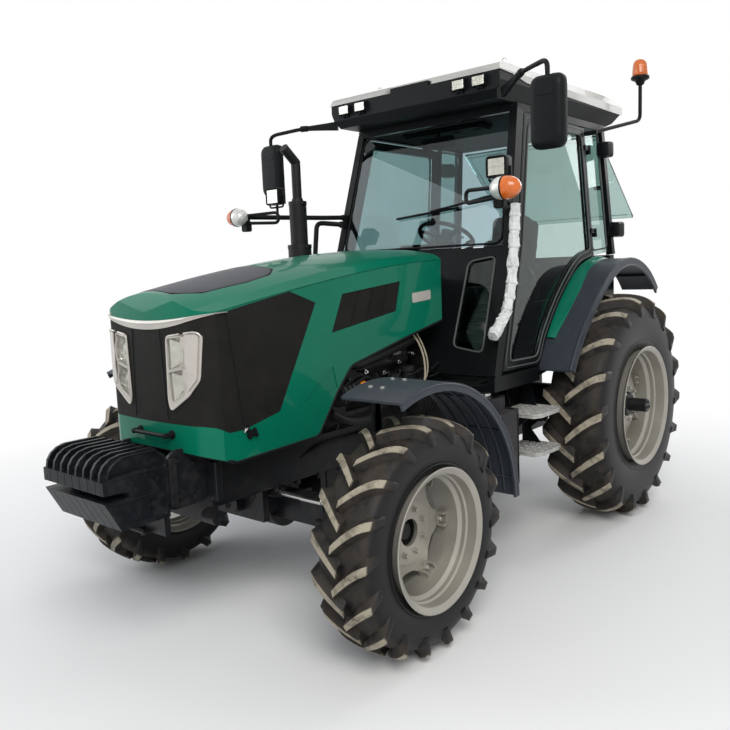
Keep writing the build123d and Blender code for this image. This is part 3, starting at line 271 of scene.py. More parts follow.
# %% Effect: grain
grain, g_in, g_out = start_effect("grain", [("Scale", "Float", 300.0), ("Softness", "Float", 0.5),
    ("Pits", "Float", 0.0)], [("Height", "Float"), ("Mask", "Float")])
where = add_node(grain, "TexCoord").outputs["Object"]
fine = add_node(grain, "TexNoise", [("Vector", where), ("Scale", g_in.outputs["Scale"]), ("Detail", 3.0)])
cells = add_node(grain, "TexVoronoi", [("Vector", where), ("Scale", g_in.outputs["Scale"])])
pitted = add_node(
    grain, "Mix",
    [("Factor", g_in.outputs["Pits"]), (2, fine.outputs["Fac"]), (3, cells.outputs["Distance"])],
)
slow = add_node(grain, "TexNoise", [("Vector", where), ("Scale", 14.0), ("Detail", 2.0)])
level_out = add_node(
    grain, "Mix",
    [("Factor", g_in.outputs["Softness"]), (2, pitted), (3, slow.outputs["Fac"])],
)
grain.links.new(level_out.outputs[0], g_out.inputs["Height"])
grain.links.new(slow.outputs["Fac"], g_out.inputs["Mask"])
print("effect:", grain.name)

# %% [markdown]
# Edge wear finds the outer edges of a piece, where paint rubs through first.
# Geometry's Pointiness is high on a convex edge; noise breaks the line up so
# that the wear looks knocked and not drawn.

# %% Effect: edge wear
edge_wear, g_in, g_out = start_effect("edge_wear", [("Colour", "Color", (0.1, 0.1, 0.1, 1)),
    ("Bare Colour", "Color", (0.3, 0.28, 0.26, 1)), ("Amount", "Float", 0.5)],
    [("Colour", "Color"), ("Mask", "Float")])
sharp = add_node(edge_wear, "NewGeometry").outputs["Pointiness"]
where = add_node(edge_wear, "TexCoord").outputs["Object"]
knocks = add_node(edge_wear, "TexNoise", [("Vector", where), ("Scale", 22.0), ("Detail", 6.0)])
edge = add_node(edge_wear, "MapRange", [("Value", sharp), ("From Min", 0.52), ("From Max", 0.64)])
rubbed = add_node(
    edge_wear, "MapRange", [("Value", knocks.outputs["Fac"]), ("From Min", 0.45), ("From Max", 0.65)]
)
worn = calc(edge_wear, "MULTIPLY", edge, rubbed)
mask = calc(edge_wear, "MULTIPLY", worn, g_in.outputs["Amount"], use_clamp=True)
mixed = add_node(edge_wear, "Mix", [("Factor", mask), (6, g_in.outputs["Colour"]),
    (7, g_in.outputs["Bare Colour"])], data_type="RGBA")
edge_wear.links.new(mixed.outputs[2], g_out.inputs["Colour"])
edge_wear.links.new(mask.outputs[0], g_out.inputs["Mask"])
print("effect:", edge_wear.name)

# %% [markdown]
# Weave is the fine wire cloth of the grille and the intake. It is far too fine
# to build wire by wire, so the group draws round holes in staggered rows. It
# picks the two directions that lie in the surface from its normal, so one
# group serves the nose, the sides and the top.

# %% Effect: weave
weave, g_in, g_out = start_effect(
    "weave", [("Scale", "Float", 700.0)], [("Mask", "Float"), ("Height", "Float")],
)
where = add_node(weave, "SeparateXYZ", [(0, add_node(weave, "TexCoord").outputs["Object"])])
facing = add_node(weave, "SeparateXYZ", [(0, add_node(weave, "NewGeometry").outputs["Normal"])])


def faces_along(part):
    size = calc(weave, "ABSOLUTE", facing.outputs[part])
    return calc(weave, "GREATER_THAN", size, 0.7).outputs[0]


def ripple(side, first, second):
    picked = add_node(weave, "Mix", [("Factor", side), (2, first), (3, second)])
    scaled = calc(weave, "MULTIPLY", picked, g_in.outputs["Scale"])
    return calc(weave, "SINE", scaled).outputs[0]


across = ripple(faces_along("X"), where.outputs["X"], where.outputs["Y"])
along = ripple(faces_along("Z"), where.outputs["Z"], where.outputs["Y"])
holes = calc(weave, "MULTIPLY", across, along)
open_part = add_node(weave, "MapRange", [("Value", holes), ("From Min", 0.0), ("From Max", 0.5)])
wire = calc(weave, "SUBTRACT", 1.0, open_part)
weave.links.new(open_part.outputs[0], g_out.inputs["Mask"])
weave.links.new(wire.outputs[0], g_out.inputs["Height"])
print("effect:", weave.name)

# %% [markdown]
# Most finishes on the tractor are one recipe with different numbers: a
# mottled colour, a little wear on the edges, dust on top, and a grain in the
# relief. This function writes that recipe, and the finishes below call it.

# %% The shared recipe
def effect(tree, group, sources):
    """One effect group placed in a material."""
    return add_node(tree, "Group", sources, node_tree=group)


def rgb(r, g, b):
    return (r, g, b, 1.0)


finishes = {}


def make_finish(
    name, colour, roughness, metallic=0.0, coat=0.0, shine=0.22, vary=0.12, vary_scale=5.0, wear=0.0,
    bare=(0.3, 0.28, 0.26), dusty=0.0, fade_height=1.6, skin=(), woven=0.0, hole=(0.004, 0.004, 0.004),
):
    """A finish from the shared recipe. skin: grain scale, depth in metres, softness, pits, strength."""
    scale, depth, softness, pits, strength = (*skin, *(300.0, 0.0004, 0.4, 0.0, 0.5)[len(skin):])
    made = bpy.data.materials.new(name)
    made.use_nodes = True
    tree = made.node_tree
    shader = tree.nodes["Principled BSDF"]
    shader.inputs["Metallic"].default_value = metallic
    shader.inputs["Coat Weight"].default_value = coat
    shader.inputs["Coat Roughness"].default_value = 0.04
    shader.inputs["Coat IOR"].default_value = 1.32
    shader.inputs["Specular IOR Level"].default_value = shine
    varied = effect(tree, mottle, [("Colour", rgb(*colour)), ("Amount", vary), ("Scale", vary_scale)])
    top = varied.outputs["Colour"]
    if wear:
        worn = effect(tree, edge_wear, [("Colour", top), ("Bare Colour", rgb(*bare)), ("Amount", wear)])
        top = worn.outputs["Colour"]
    if woven:
        cloth = effect(tree, weave, [("Scale", woven)])
        top = add_node(tree, "Mix", [("Factor", cloth.outputs["Mask"]), (6, top), (7, rgb(*hole))],
            data_type="RGBA").outputs[2]
    settled = effect(tree, dust, [("Colour", top), ("Amount", dusty), ("Fade Height", fade_height),
        ("Roughness", roughness)])
    tree.links.new(settled.outputs["Colour"], shader.inputs["Base Color"])
    tree.links.new(settled.outputs["Roughness"], shader.inputs["Roughness"])
    relief = effect(tree, grain, [("Scale", scale), ("Softness", softness), ("Pits", pits)])
    bump = add_node(tree, "Bump", [("Height", relief.outputs["Height"]), ("Strength", strength),
        ("Distance", depth)])
    if woven:
        bump = add_node(tree, "Bump", [("Height", cloth.outputs["Height"]), ("Strength", 0.6),
            ("Distance", 0.0012), ("Normal", bump.outputs["Normal"])])
    tree.links.new(bump.outputs["Normal"], shader.inputs["Normal"])
    finishes[name] = made


print("recipe ready")

# %% [markdown]
# The body paint is a deep bluish green under clear lacquer. On the real
# machine it is sprayed and baked, so it has a faint orange peel and mirror
# gloss. The lacquer is the shader's coat: it reflects sharply while the
# colour below stays a soft, saturated green.

# %% Painted finishes
make_finish("green_paint", (0.0005, 0.148, 0.086), 0.34, coat=0.4, shine=0.07, vary=0.05, vary_scale=2.5,
    dusty=0.05, skin=(120.0, 0.0003, 0.85, 0.0, 0.25))
make_finish("engine_paint", (0.008, 0.009, 0.009), 0.42, vary=0.15, wear=0.04, dusty=0.06,
    skin=(420.0, 0.0006, 0.4, 0.5))
make_finish("roof_silver", (0.42, 0.42, 0.4), 0.38, metallic=0.15, coat=0.35, vary=0.06, vary_scale=3.0,
    dusty=0.1, fade_height=6.0, skin=(700.0, 0.0002, 0.4, 0.0, 0.3))
make_finish("rim_silver", (0.35, 0.335, 0.295), 0.34, metallic=0.4, coat=0.2, shine=0.4, vary=0.08, wear=0.15,
    dusty=0.25, fade_height=1.9, skin=(500.0, 0.0003))
print("painted finishes:", sorted(finishes))

# %% [markdown]
# The frame, the axle and the weights are cast iron, painted black. Casting
# sand leaves a skin of small pits, so these take the pitted grain, with bare
# metal on the knocked edges and dry earth near the ground.

# %% Iron and steel
make_finish("black_iron", (0.008, 0.009, 0.011), 0.36, vary=0.12, wear=0.04, dusty=0.05,
    skin=(380.0, 0.0009, 0.3, 0.6))
make_finish("weight_iron", (0.005, 0.007, 0.009), 0.34, shine=0.12, vary=0.1, wear=0.04, dusty=0.03,
    skin=(300.0, 0.001, 0.35, 0.5))
make_finish("exhaust_black", (0.012, 0.012, 0.013), 0.5, metallic=0.3, vary=0.25, wear=0.05, dusty=0.04,
    fade_height=5.0, skin=(350.0,))
make_finish("bright_steel", (0.6, 0.6, 0.58), 0.22, metallic=1.0, vary=0.05, dusty=0.15,
    skin=(900.0, 0.0001, 0.4, 0.0, 0.2))
print("finishes so far:", len(finishes))

# %% [markdown]
# The rest of the body is moulded plastic, rubber trim and powder coat, all
# near black but not alike: the cab frame is satin powder coat, the wings are a
# black plastic with a leather grain whose blue tint is a painted reflection of
# the sky, and the tank is a duller moulding.

# %% Plastics and trims
make_finish("cab_black", (0.005, 0.006, 0.007), 0.3, coat=0.08, shine=0.08, vary=0.12, dusty=0.02,
    fade_height=4.0, skin=(600.0, 0.0002, 0.4, 0.0, 0.3))
make_finish("trim_black", (0.007, 0.008, 0.009), 0.42, shine=0.1, vary=0.12, dusty=0.03, fade_height=4.0,
    skin=(900.0, 0.0003, 0.1, 0.7))
make_finish("grille_black", (0.016, 0.016, 0.015), 0.55, shine=0.07, vary=0.12, dusty=0.1, fade_height=3.0,
    woven=900.0, skin=(700.0, 0.0003, 0.1, 0.8))
# The blue in the wings' colour is a painted sky reflection; the plastic itself is near black.
make_finish("guard_black", (0.034, 0.041, 0.052), 0.4, vary=0.05, wear=0.03, bare=(0.2, 0.21, 0.22),
    dusty=0.04, fade_height=2.2, skin=(800.0, 0.0003, 0.1, 0.8))
make_finish("tank_black", (0.016, 0.018, 0.022), 0.48, vary=0.2, wear=0.2, dusty=0.35,
    skin=(600.0, 0.0004, 0.2, 0.6))
make_finish("step_tread", (0.5, 0.5, 0.48), 0.6, metallic=0.2, vary=0.25, vary_scale=30.0, wear=0.3, dusty=0.5,
    skin=(260.0, 0.0008, 0.1, 0.7))
make_finish("seal_grey", (0.085, 0.092, 0.09), 0.5, vary=0.1, dusty=0.1, skin=(500.0, 0.0003))
make_finish("mirror_silver", (0.8, 0.82, 0.83), 0.04, metallic=1.0, vary=0.02,
    skin=(40.0, 0.0001, 0.4, 0.0, 0.1))
make_finish("grip_black", (0.013, 0.014, 0.015), 0.6, shine=0.12, vary=0.15, dusty=0.03,
    skin=(1100.0, 0.0005, 0.1, 0.8))
make_finish("knob_red", (0.45, 0.03, 0.012), 0.35, coat=0.4, vary=0.1, skin=(600.0, 0.0002))
make_finish("cap_orange", (0.72, 0.24, 0.015), 0.4, coat=0.2, vary=0.1, skin=(600.0, 0.0002))
make_finish("hose_cream", (0.42, 0.38, 0.28), 0.55, vary=0.15, dusty=0.2, skin=(500.0,))
make_finish("wrapped_rail", (0.72, 0.73, 0.72), 0.28, coat=0.6, vary=0.12, vary_scale=18.0, dusty=0.1,
    skin=(60.0, 0.006, 0.1, 0.0, 0.9))
make_finish("seat_fabric", (0.03, 0.034, 0.04), 0.85, vary=0.25, dusty=0.15, fade_height=3.0,
    skin=(900.0, 0.0012, 0.1))
print("finishes so far:", len(finishes))

# %% [markdown]
# A tyre is nearly black rubber. Here its lug tops are made cream and the gaps
# between them hold brown dust, while the sidewall stays black. Where each
# colour goes is known when the mesh is built, so the mesh carries a number on
# each point, called tread: 0 on the sidewall, about 0.5 in the gaps, 1 on a
# lug's top. The shader reads it with an Attribute node.

# %% Tyre rubber
def make_rubber(name):
    """Black rubber, brown between the lugs and cream on their tops."""
    made = bpy.data.materials.new(name)
    made.use_nodes = True
    tree = made.node_tree
    shader = tree.nodes["Principled BSDF"]
    shader.inputs["Specular IOR Level"].default_value = 0.22
    where = add_node(tree, "TexCoord").outputs["Object"]
    tread = add_node(tree, "Attribute", attribute_name="tread").outputs["Fac"]
    patches = add_node(
        tree, "TexNoise", [("Vector", where), ("Scale", 12.0), ("Detail", 9.0), ("Roughness", 0.72)]
    ).outputs["Fac"]
    speck = add_node(tree, "MapRange", [("Value", patches), ("From Min", 0.38), ("From Max", 0.66)])
    gap = add_node(tree, "MapRange", [("Value", tread), ("From Min", 0.1), ("From Max", 0.5)])
    dusted = calc(tree, "MULTIPLY", gap, speck)
    brown = add_node(tree, "Mix", [("Factor", dusted), (6, rgb(0.01, 0.01, 0.011)),
        (7, rgb(0.05, 0.041, 0.032))], data_type="RGBA")
    top = add_node(tree, "MapRange", [("Value", tread), ("From Min", 0.78), ("From Max", 0.98)])
    broken = add_node(
        tree, "MapRange", [("Value", patches), ("From Min", 0.36), ("From Max", 0.54), ("To Min", 0.25)]
    )
    rubbed = calc(tree, "MULTIPLY", top, broken)
    cream = add_node(tree, "Mix", [("Factor", rubbed), (6, brown.outputs[2]), (7, rgb(0.36, 0.32, 0.245))],
        data_type="RGBA")
    tree.links.new(cream.outputs[2], shader.inputs["Base Color"])
    rough = add_node(tree, "Mix", [("Factor", dusted), (2, 0.42), (3, 0.85)])
    tree.links.new(rough.outputs[0], shader.inputs["Roughness"])
    relief = effect(tree, grain, [("Scale", 260.0), ("Softness", 0.35), ("Pits", 0.3)])
    bump = add_node(tree, "Bump", [("Height", relief.outputs["Height"]), ("Strength", 0.5),
        ("Distance", 0.0012)])
    tree.links.new(bump.outputs["Normal"], shader.inputs["Normal"])
    finishes[name] = made


make_rubber("tyre")
print("tyre rubber ready")

# %% [markdown]
# Cab glass is a flat tinted sheet. Real glass bends light in and out again,
# which a solid pane does by itself with full transmission. The tint is in the
# base colour, a grey-green. Lamp covers are the same glass, nearly clear, and
# the indicator lenses are amber plastic with a rougher skin.

# %% Glass and lenses
def make_glass(name, tint, roughness, ior, streak=0.0):
    """Clear or tinted glass, with faint smears in its gloss."""
    made = bpy.data.materials.new(name)
    made.use_nodes = True
    tree = made.node_tree
    shader = tree.nodes["Principled BSDF"]
    shader.inputs["Transmission Weight"].default_value = 1.0
    shader.inputs["IOR"].default_value = ior
    varied = effect(tree, mottle, [("Colour", rgb(*tint)), ("Amount", 0.06), ("Scale", 2.0)])
    tree.links.new(varied.outputs["Colour"], shader.inputs["Base Color"])
    smear = effect(tree, grain, [("Scale", 3.0), ("Softness", 0.5), ("Pits", 0.0)])
    gloss = add_node(tree, "MapRange", [("Value", smear.outputs["Height"]), ("From Min", 0.35),
        ("From Max", 0.7), ("To Min", roughness), ("To Max", roughness + streak)])
    tree.links.new(gloss.outputs[0], shader.inputs["Roughness"])
    finishes[name] = made


make_glass("cab_glass", (0.4, 0.54, 0.51), 0.0, 1.4, streak=0.02)
make_glass("screen_glass", (0.28, 0.4, 0.43), 0.0, 1.4, streak=0.02)
make_glass("lamp_glass", (0.94, 0.95, 0.94), 0.0, 1.22, streak=0.01)
make_finish("amber_lens", (0.62, 0.13, 0.008), 0.22, coat=0.8, vary=0.15, vary_scale=30.0, shine=0.5,
    skin=(120.0, 0.0015, 0.1, 0.9, 0.4))
make_finish("clear_lens", (0.66, 0.67, 0.64), 0.16, metallic=0.25, coat=1.0, vary=0.12, vary_scale=40.0,
    shine=0.6, skin=(110.0, 0.0015, 0.1, 0.9, 0.4))
make_finish("reflector", (0.6, 0.58, 0.52), 0.2, metallic=0.75, coat=0.4, vary=0.1, vary_scale=25.0, shine=0.5,
    skin=(200.0, 0.0006, 0.2))
make_finish("lamp_frame", (0.5, 0.47, 0.43), 0.3, metallic=0.2, coat=0.5, vary=0.05, shine=0.4,
    skin=(500.0, 0.0002))
make_finish("scoop_mesh", (0.07, 0.074, 0.088), 0.42, vary=0.1, woven=900.0, hole=(0.012, 0.012, 0.014),
    skin=(700.0, 0.0003))
print("all finishes:", sorted(finishes))

# %% [markdown]
# Every CAD part gets the finish that its record names. The CAD mesh is made of
# flat triangles, so its faces are marked smooth wherever two meet at a low
# angle, and stay crisp across real edges. That changes how the mesh is shaded
# and not where its points are.

# %% Dress the CAD parts
def shade_by_angle(obj, degrees=28.0):
    """Smooth faces with crisp edges wherever the surface turns by more than this angle."""
    mesh = obj.data
    mesh.polygons.foreach_set("use_smooth", [True] * len(mesh.polygons))
    work = bmesh.new()
    work.from_mesh(mesh)
    limit = radians(degrees)
    for edge in work.edges:
        edge.smooth = len(edge.link_faces) == 2 and edge.calc_face_angle(0.0) < limit
    work.to_mesh(mesh)
    work.free()


slot_of = {part["node"]: part["material_slot"] for part in frame["record"]["subparts"]}
for name, node in nodes.items():
    node.data.materials.clear()
    node.data.materials.append(finishes[slot_of[name]])
    shade_by_angle(node)
nodes["windscreen"].data.materials[0] = finishes["screen_glass"]
print("dressed", len(nodes), "parts in", len(set(slot_of.values())), "finishes")

# %% [markdown]
# Now the pieces that a CAD model leaves out. Most start as a list of points
# and faces. This helper turns such lists into an object, gives it a finish,
# smooths it by angle, and fixes it to the body that carries it, so that it
# moves with that body in every pose.

# %% Helper: a new piece
SIDES = ((1, "left"), (-1, "right"))


def join(*shapes):
    """Several (points, faces) shapes as one."""
    points, faces = [], []
    for some_points, some_faces in shapes:
        start = len(points)
        points += [tuple(p) for p in some_points]
        faces += [tuple(start + i for i in face) for face in some_faces]
    return points, faces


def piece(name, shape, finish, body="tractor", angle=30.0, spot=None):
    """A mesh object on a body, from one shape or a list. With spot, points are about that place."""
    points, faces = join(*shape) if isinstance(shape, list) else shape
    mesh = bpy.data.meshes.new(name)
    mesh.from_pydata([tuple(p) for p in points], [], faces)
    mesh.validate()
    obj = bpy.data.objects.new(name, mesh)
    bpy.context.scene.collection.objects.link(obj)
    if spot is not None:
        obj.location = spot
    mesh.materials.append(finishes[finish])
    work = bmesh.new()
    work.from_mesh(mesh)
    bmesh.ops.recalc_face_normals(work, faces=work.faces)
    work.to_mesh(mesh)
    work.free()
    shade_by_angle(obj, angle)
    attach(obj, body)
    return obj


def ring_faces(rings, count, closed=False):
    """Four-sided faces between rings of count points; closed joins the last to the first."""
    faces = []
    for k in range(rings if closed else rings - 1):
        for m in range(count):
            a, b = k * count + m, k * count + (m + 1) % count
            c, d = (k + 1) % rings * count + (m + 1) % count, (k + 1) % rings * count + m
            faces.append((a, b, c, d))
    return faces


def on_side(side, shape, place=(0, 0, 0)):
    """A shape built for the left, put on the side given (1 left, -1 right)."""
    points, faces = shape
    return [(side * x + place[0], y + place[1], z + place[2]) for x, y, z in points], faces


def smooth_line(points, steps):
    """More points on a smooth curve through the given ones."""
    points = [Vector(p) for p in points]
    ends = [2 * points[0] - points[1]] + points + [2 * points[-1] - points[-2]]
    line = []
    for a, b, c, d in zip(ends, ends[1:], ends[2:], ends[3:]):
        for k in range(steps):
            t = k / steps
            line.append(0.5 * (2 * b + (c - a) * t + (2 * a - 5 * b + 4 * c - d) * t * t
                               + (3 * b - a - 3 * c + d) * t ** 3))
    return line + [points[-1]]


print("piece helper ready")

# %% [markdown]
# A drive tyre has two rows of slanted lugs that meet in a V, the point of the
# V leading. One way to model it is to sculpt one lug and copy it round with an
# array. Here each lug is swept in code: its spine runs along the tyre's own
# cross-section from the middle to the shoulder and down the sidewall, so it
# hugs the casing and thins out at its end as a moulded lug does. The casing
# is the same cross-section turned round the axle.

# %% Tyre shapes
SIDE_LINE = (
    (0.0, 1.0), (0.34, 0.993), (0.62, 0.965), (0.8, 0.915), (0.91, 0.835), (0.975, 0.72), (1.0, 0.56),
    (0.99, 0.38), (0.95, 0.23), (0.93, 0.2), (0.94, 0.17), (0.9, 0.09), (0.8, 0.0),
)
LUG_STEPS = 14
RING = 120


def casing_line(half_width, crown, bead):
    """(x, radius) of half the casing, from the middle of the tread to the bead."""
    return smooth_line([(half_width * x, bead + (crown - bead) * r, 0) for x, r in SIDE_LINE], 4)


def walk(line, length):
    """The point of a line so far along it, and the outward normal there."""
    for a, b in zip(line, line[1:]):
        step = (b - a).length
        if length <= step or b is line[-1]:
            along = (b - a).normalized()
            return a + along * length, Vector((-along.y, along.x, 0))
        length -= step


def build_tyre(name, node, body, spot, half_width, crown, bead, outer, lug_width, count, reach, turned):
    """A treaded tyre about its axle. reach is how far a lug runs down the sidewall."""
    line = casing_line(half_width, crown, bead)
    loop = [(p.x, p.y) for p in line] + [(-p.x, p.y) for p in reversed(line[1:])]
    points, tread = [], []
    for k in range(RING):
        turn_by = 2 * pi * k / RING
        for x, radius in loop:
            points.append((x, -radius * sin(turn_by), radius * cos(turn_by)))
            share = (radius - bead) / (crown - bead)
            tread.append(max(0.0, min(0.5, (share - 0.8) * 4)))
    faces = ring_faces(RING, len(loop), True)
    tall = outer - crown
    side_length = 0.8 * half_width + reach
    for side in (1, -1):
        for k in range(count):
            start = 2 * pi * (k + (0.5 if side < 0 else 0)) / count + turned
            first = len(points)
            for step in range(LUG_STEPS + 1):
                t = step / LUG_STEPS
                across = -0.1 * half_width + (side_length + 0.1 * half_width) * t
                base, normal = walk(line, abs(across))
                if across < 0:
                    base, normal = Vector((-base.x, base.y, 0)), Vector((-normal.x, normal.y, 0))
                lead = 1.02 * half_width * (1 - t) ** 1.25
                slope = atan2(1.02 * 1.25 * half_width * max(1 - t, 0.02) ** 0.25, side_length)
                wide = lug_width * (0.92 + 0.3 * min(t / 0.7, 1))
                past = max(0.0, (across - 0.9 * half_width) / reach)
                high = tall * max(0.06, 1 - 0.45 * min(past * 5, 1) - 0.5 * past)
                half = wide / 2 / cos(slope)
                foot = 0.45 * lug_width + 0.25 * high
                for shift, up, mark in (
                    (-half - foot, -0.004, 0.5), (-half - 0.38 * foot, 0.42 * high, 0.6),
                    (-half, 0.9 * high, 0.74), (0.003 - half, high, 1.0),
                    (half - 0.003, high, 1.0), (half, 0.9 * high, 0.74),
                    (half + 0.38 * foot, 0.42 * high, 0.6), (half + foot, -0.004, 0.5),
                ):
                    spot_x = base.x + normal.x * up
                    radius = base.y + normal.y * up
                    angle = start + (lead + shift) / crown
                    points.append((side * spot_x, -radius * sin(angle), radius * cos(angle)))
                    tread.append(mark if past < 0.08 else min(mark, 0.55) * max(0.0, 1 - 1.6 * past))
            for step in range(LUG_STEPS):
                a = first + 8 * step
                faces += [(a + m, a + m + 1, a + m + 9, a + m + 8) for m in range(7)]
                faces.append((a + 7, a, a + 8, a + 15))
            faces += [tuple(first + m for m in range(8)), tuple(first + 8 * LUG_STEPS + m
                for m in reversed(range(8)))]
    tyre = piece(name, (points, faces), "tyre", body, angle=38.0, spot=spot)
    marks = tyre.data.attributes.new("tread", "FLOAT", "POINT")
    marks.data.foreach_set("value", tread)
    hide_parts(node)
    return tyre


# %% Build the four tyres
for x_sign, side in SIDES:
    for axle, casing, lug in (
        ("front", (0.154, 0.508, 0.308, 0.5495), (0.027, 18, 0.07)),
        ("rear", (0.196, 0.715, 0.384, 0.7645), (0.034, 18, 0.09)),
    ):
        low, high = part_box(f"{axle}_tyre_{side}")
        middle = (low + high) / 2
        tyre = build_tyre(f"treaded_{axle}_tyre_{side}", f"{axle}_tyre_{side}", f"{axle}_wheel_{side}", middle,
            *casing, *lug, 0.06 * x_sign)
        print(tyre.name, len(tyre.data.polygons), "faces")

# %% [markdown]
# An adjustable-track wheel has three parts: a rolled rim with a lip, a bead
# seat and a deeper well, a pressed disc that stands inside it, and the lugs
# and clamps that bolt the two together. The rim is a profile turned round the
# axle. A lathe (Screw) modifier would do it too, but a turned list of points
# keeps the thickness of the metal easy to give: the profile goes out along
# one face and comes back along the other.

# %% Helpers: turned and drawn shapes
def turn_round(profile, rings):
    """Points and faces of a closed (x, radius) profile turned round the axle."""
    points = []
    for k in range(rings):
        a = 2 * pi * k / rings
        points += [(x, -r * sin(a), r * cos(a)) for x, r in profile]
    return points, ring_faces(rings, len(profile), True)


def thick_plate(outline, hole, low_x, high_x):
    """A plate across the axle between two outlines of (y, z), with as many points each."""
    edges = ((outline, low_x), (outline, high_x), (hole, high_x), (hole, low_x))
    return [(x, y, z) for line, x in edges for y, z in line], ring_faces(4, len(outline), True)


def chunk(size, place=(0, 0, 0), turn=None, bevel=0.15):
    """A block with chamfered edges, turned by a matrix and set in place."""
    work = bmesh.new()
    bmesh.ops.create_cube(work, size=1.0)
    bmesh.ops.scale(work, vec=size, verts=work.verts)
    bmesh.ops.bevel(work, geom=work.edges[:], offset=bevel * min(size), segments=2, affect="EDGES")
    matrix = Matrix.Translation(place) @ (turn.to_4x4() if turn else Matrix.Identity(4))
    bmesh.ops.transform(work, matrix=matrix, verts=work.verts)
    points = [tuple(v.co) for v in work.verts]
    faces = [tuple(v.index for v in f.verts) for f in work.faces]
    work.free()
    return points, faces


def bolt(radius, length):
    """A hexagon head on a washer, standing on x = 0 and pointing along +x."""
    washer = 1.5 * radius
    thin = 0.25 * length
    ring = turn_round([(0.0, 0.0001), (0.0, washer), (thin, washer), (thin, 0.0001)], 20)
    head = [(thin, 0.0001), (thin, radius), (0.85 * length, radius), (length, 0.82 * radius), (length, 0.0001)]
    return join(ring, turn_round(head, 6))


def moved(shape, matrix):
    points, faces = shape
    return [tuple(matrix @ Vector(p)) for p in points], faces


def about_x(angle, radius):
    """The place at an angle round the axle, with local z pointing outwards."""
    return Matrix.Translation((0, -radius * sin(angle), radius * cos(angle))) @ Matrix.Rotation(angle, 4, "X")


print("wheel helpers ready")

# %% Front rims: a lobed disc clamped inside the rolled rim
def rolled_rim(half, lip, seat, well, wall):
    """The rim's closed profile, from wheel centre x = 0, equal on both sides."""
    right = [(0.3 * half, well), (0.42 * half, well), (0.5 * half, seat - 0.012), (0.6 * half, seat - 0.012),
        (0.64 * half, seat - 0.004), (0.86 * half, seat), (0.93 * half, seat + 0.004),
        (0.965 * half, lip - 0.008), (half, lip - 0.001), (half + 0.004, lip), (half + 0.007, lip - 0.005),
        (half + 0.004, lip - 0.012)]
    back = [(0.985 * half, seat + 0.002), (0.95 * half, seat - 0.007), (0.86 * half, seat - wall - 0.002),
        (0.66 * half, seat - wall - 0.004), (0.62 * half, seat - wall - 0.013),
        (0.5 * half, seat - wall - 0.013), (0.41 * half, well - wall), (0.3 * half, well - wall)]
    over = right + back
    other = [(-x, r) for x, r in reversed(over)]
    return over + other


def lobed_outline(count, low, high, shift, steps):
    """(y, z) of a disc whose edge reaches out in lobes."""
    line = []
    for k in range(steps):
        a = 2 * pi * k / steps
        wave = 0.5 + 0.5 * cos(count * (a - shift))
        radius = low + (high - low) * wave ** 1.6
        line.append((-radius * sin(a), radius * cos(a)))
    return line


def round_outline(radius, steps):
    return [(-radius * sin(2 * pi * k / steps), radius * cos(2 * pi * k / steps)) for k in range(steps)]


for sign, side in SIDES:
    low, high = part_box(f"front_tyre_{side}")
    middle = (low + high) / 2
    rim = turn_round(rolled_rim(0.168, 0.331, 0.306, 0.276, 0.006), 96)
    plane = -0.034
    steps = 144
    disc = thick_plate(lobed_outline(6, 0.196, 0.252, radians(30), steps), round_outline(0.066, steps),
        plane - 0.005, plane + 0.005)
    dish = thick_plate(round_outline(0.15, steps), round_outline(0.064, steps), plane, plane + 0.016)
    parts = [rim, disc, dish]
    for k in range(6):
        spot = about_x(radians(30 + 60 * k), 0.0)
        for across in (-0.03, 0.03):
            parts.append(moved(chunk((0.052, 0.012, 0.036), (plane + 0.02, across, 0.252)), spot))
        parts += [moved(chunk((0.012, 0.06, 0.04), (plane + 0.008, 0, 0.246)), spot),
            moved(chunk((0.05, 0.082, 0.01), (plane + 0.018, 0, 0.268)), spot)]
        head = moved(bolt(0.013, 0.016), Matrix.Translation((plane + 0.014, 0, 0.24)))
        parts.append(moved(head, spot))
    for k in range(8):
        parts.append(moved(moved(bolt(0.011, 0.02), Matrix.Translation((plane + 0.015, 0, 0))),
            about_x(2 * pi * (k + 0.5) / 8, 0.108)))
    made = piece(f"clamped_rim_front_{side}", on_side(sign, join(*parts)), "rim_silver", f"front_wheel_{side}",
        spot=middle)
    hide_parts(f"front_rim_{side}")
    hub = turn_round([(-0.15, 0.0001), (-0.15, 0.08), (plane - 0.006, 0.08), (plane - 0.006, 0.063),
        (plane - 0.03, 0.06), (plane - 0.03, 0.0001)], 48)
    cap = turn_round([(plane - 0.032, 0.0001), (plane - 0.032, 0.034), (plane - 0.016, 0.032),
        (plane - 0.01, 0.024), (plane - 0.01, 0.0001)], 32)
    piece(f"front_hub_{side}", on_side(sign, join(hub, cap)), "black_iron", f"front_wheel_{side}", spot=middle)
    print(made.name, len(made.data.polygons), "faces")

# %% [markdown]
# The rear wheel is driven through its disc, so the disc is a shallow cone of
# thick plate, bolted near its edge to lugs in the rim. The axle runs on
# through it as a plain black bar, along which the wheel slides to change the
# track, and ends in a ring of small bolts.

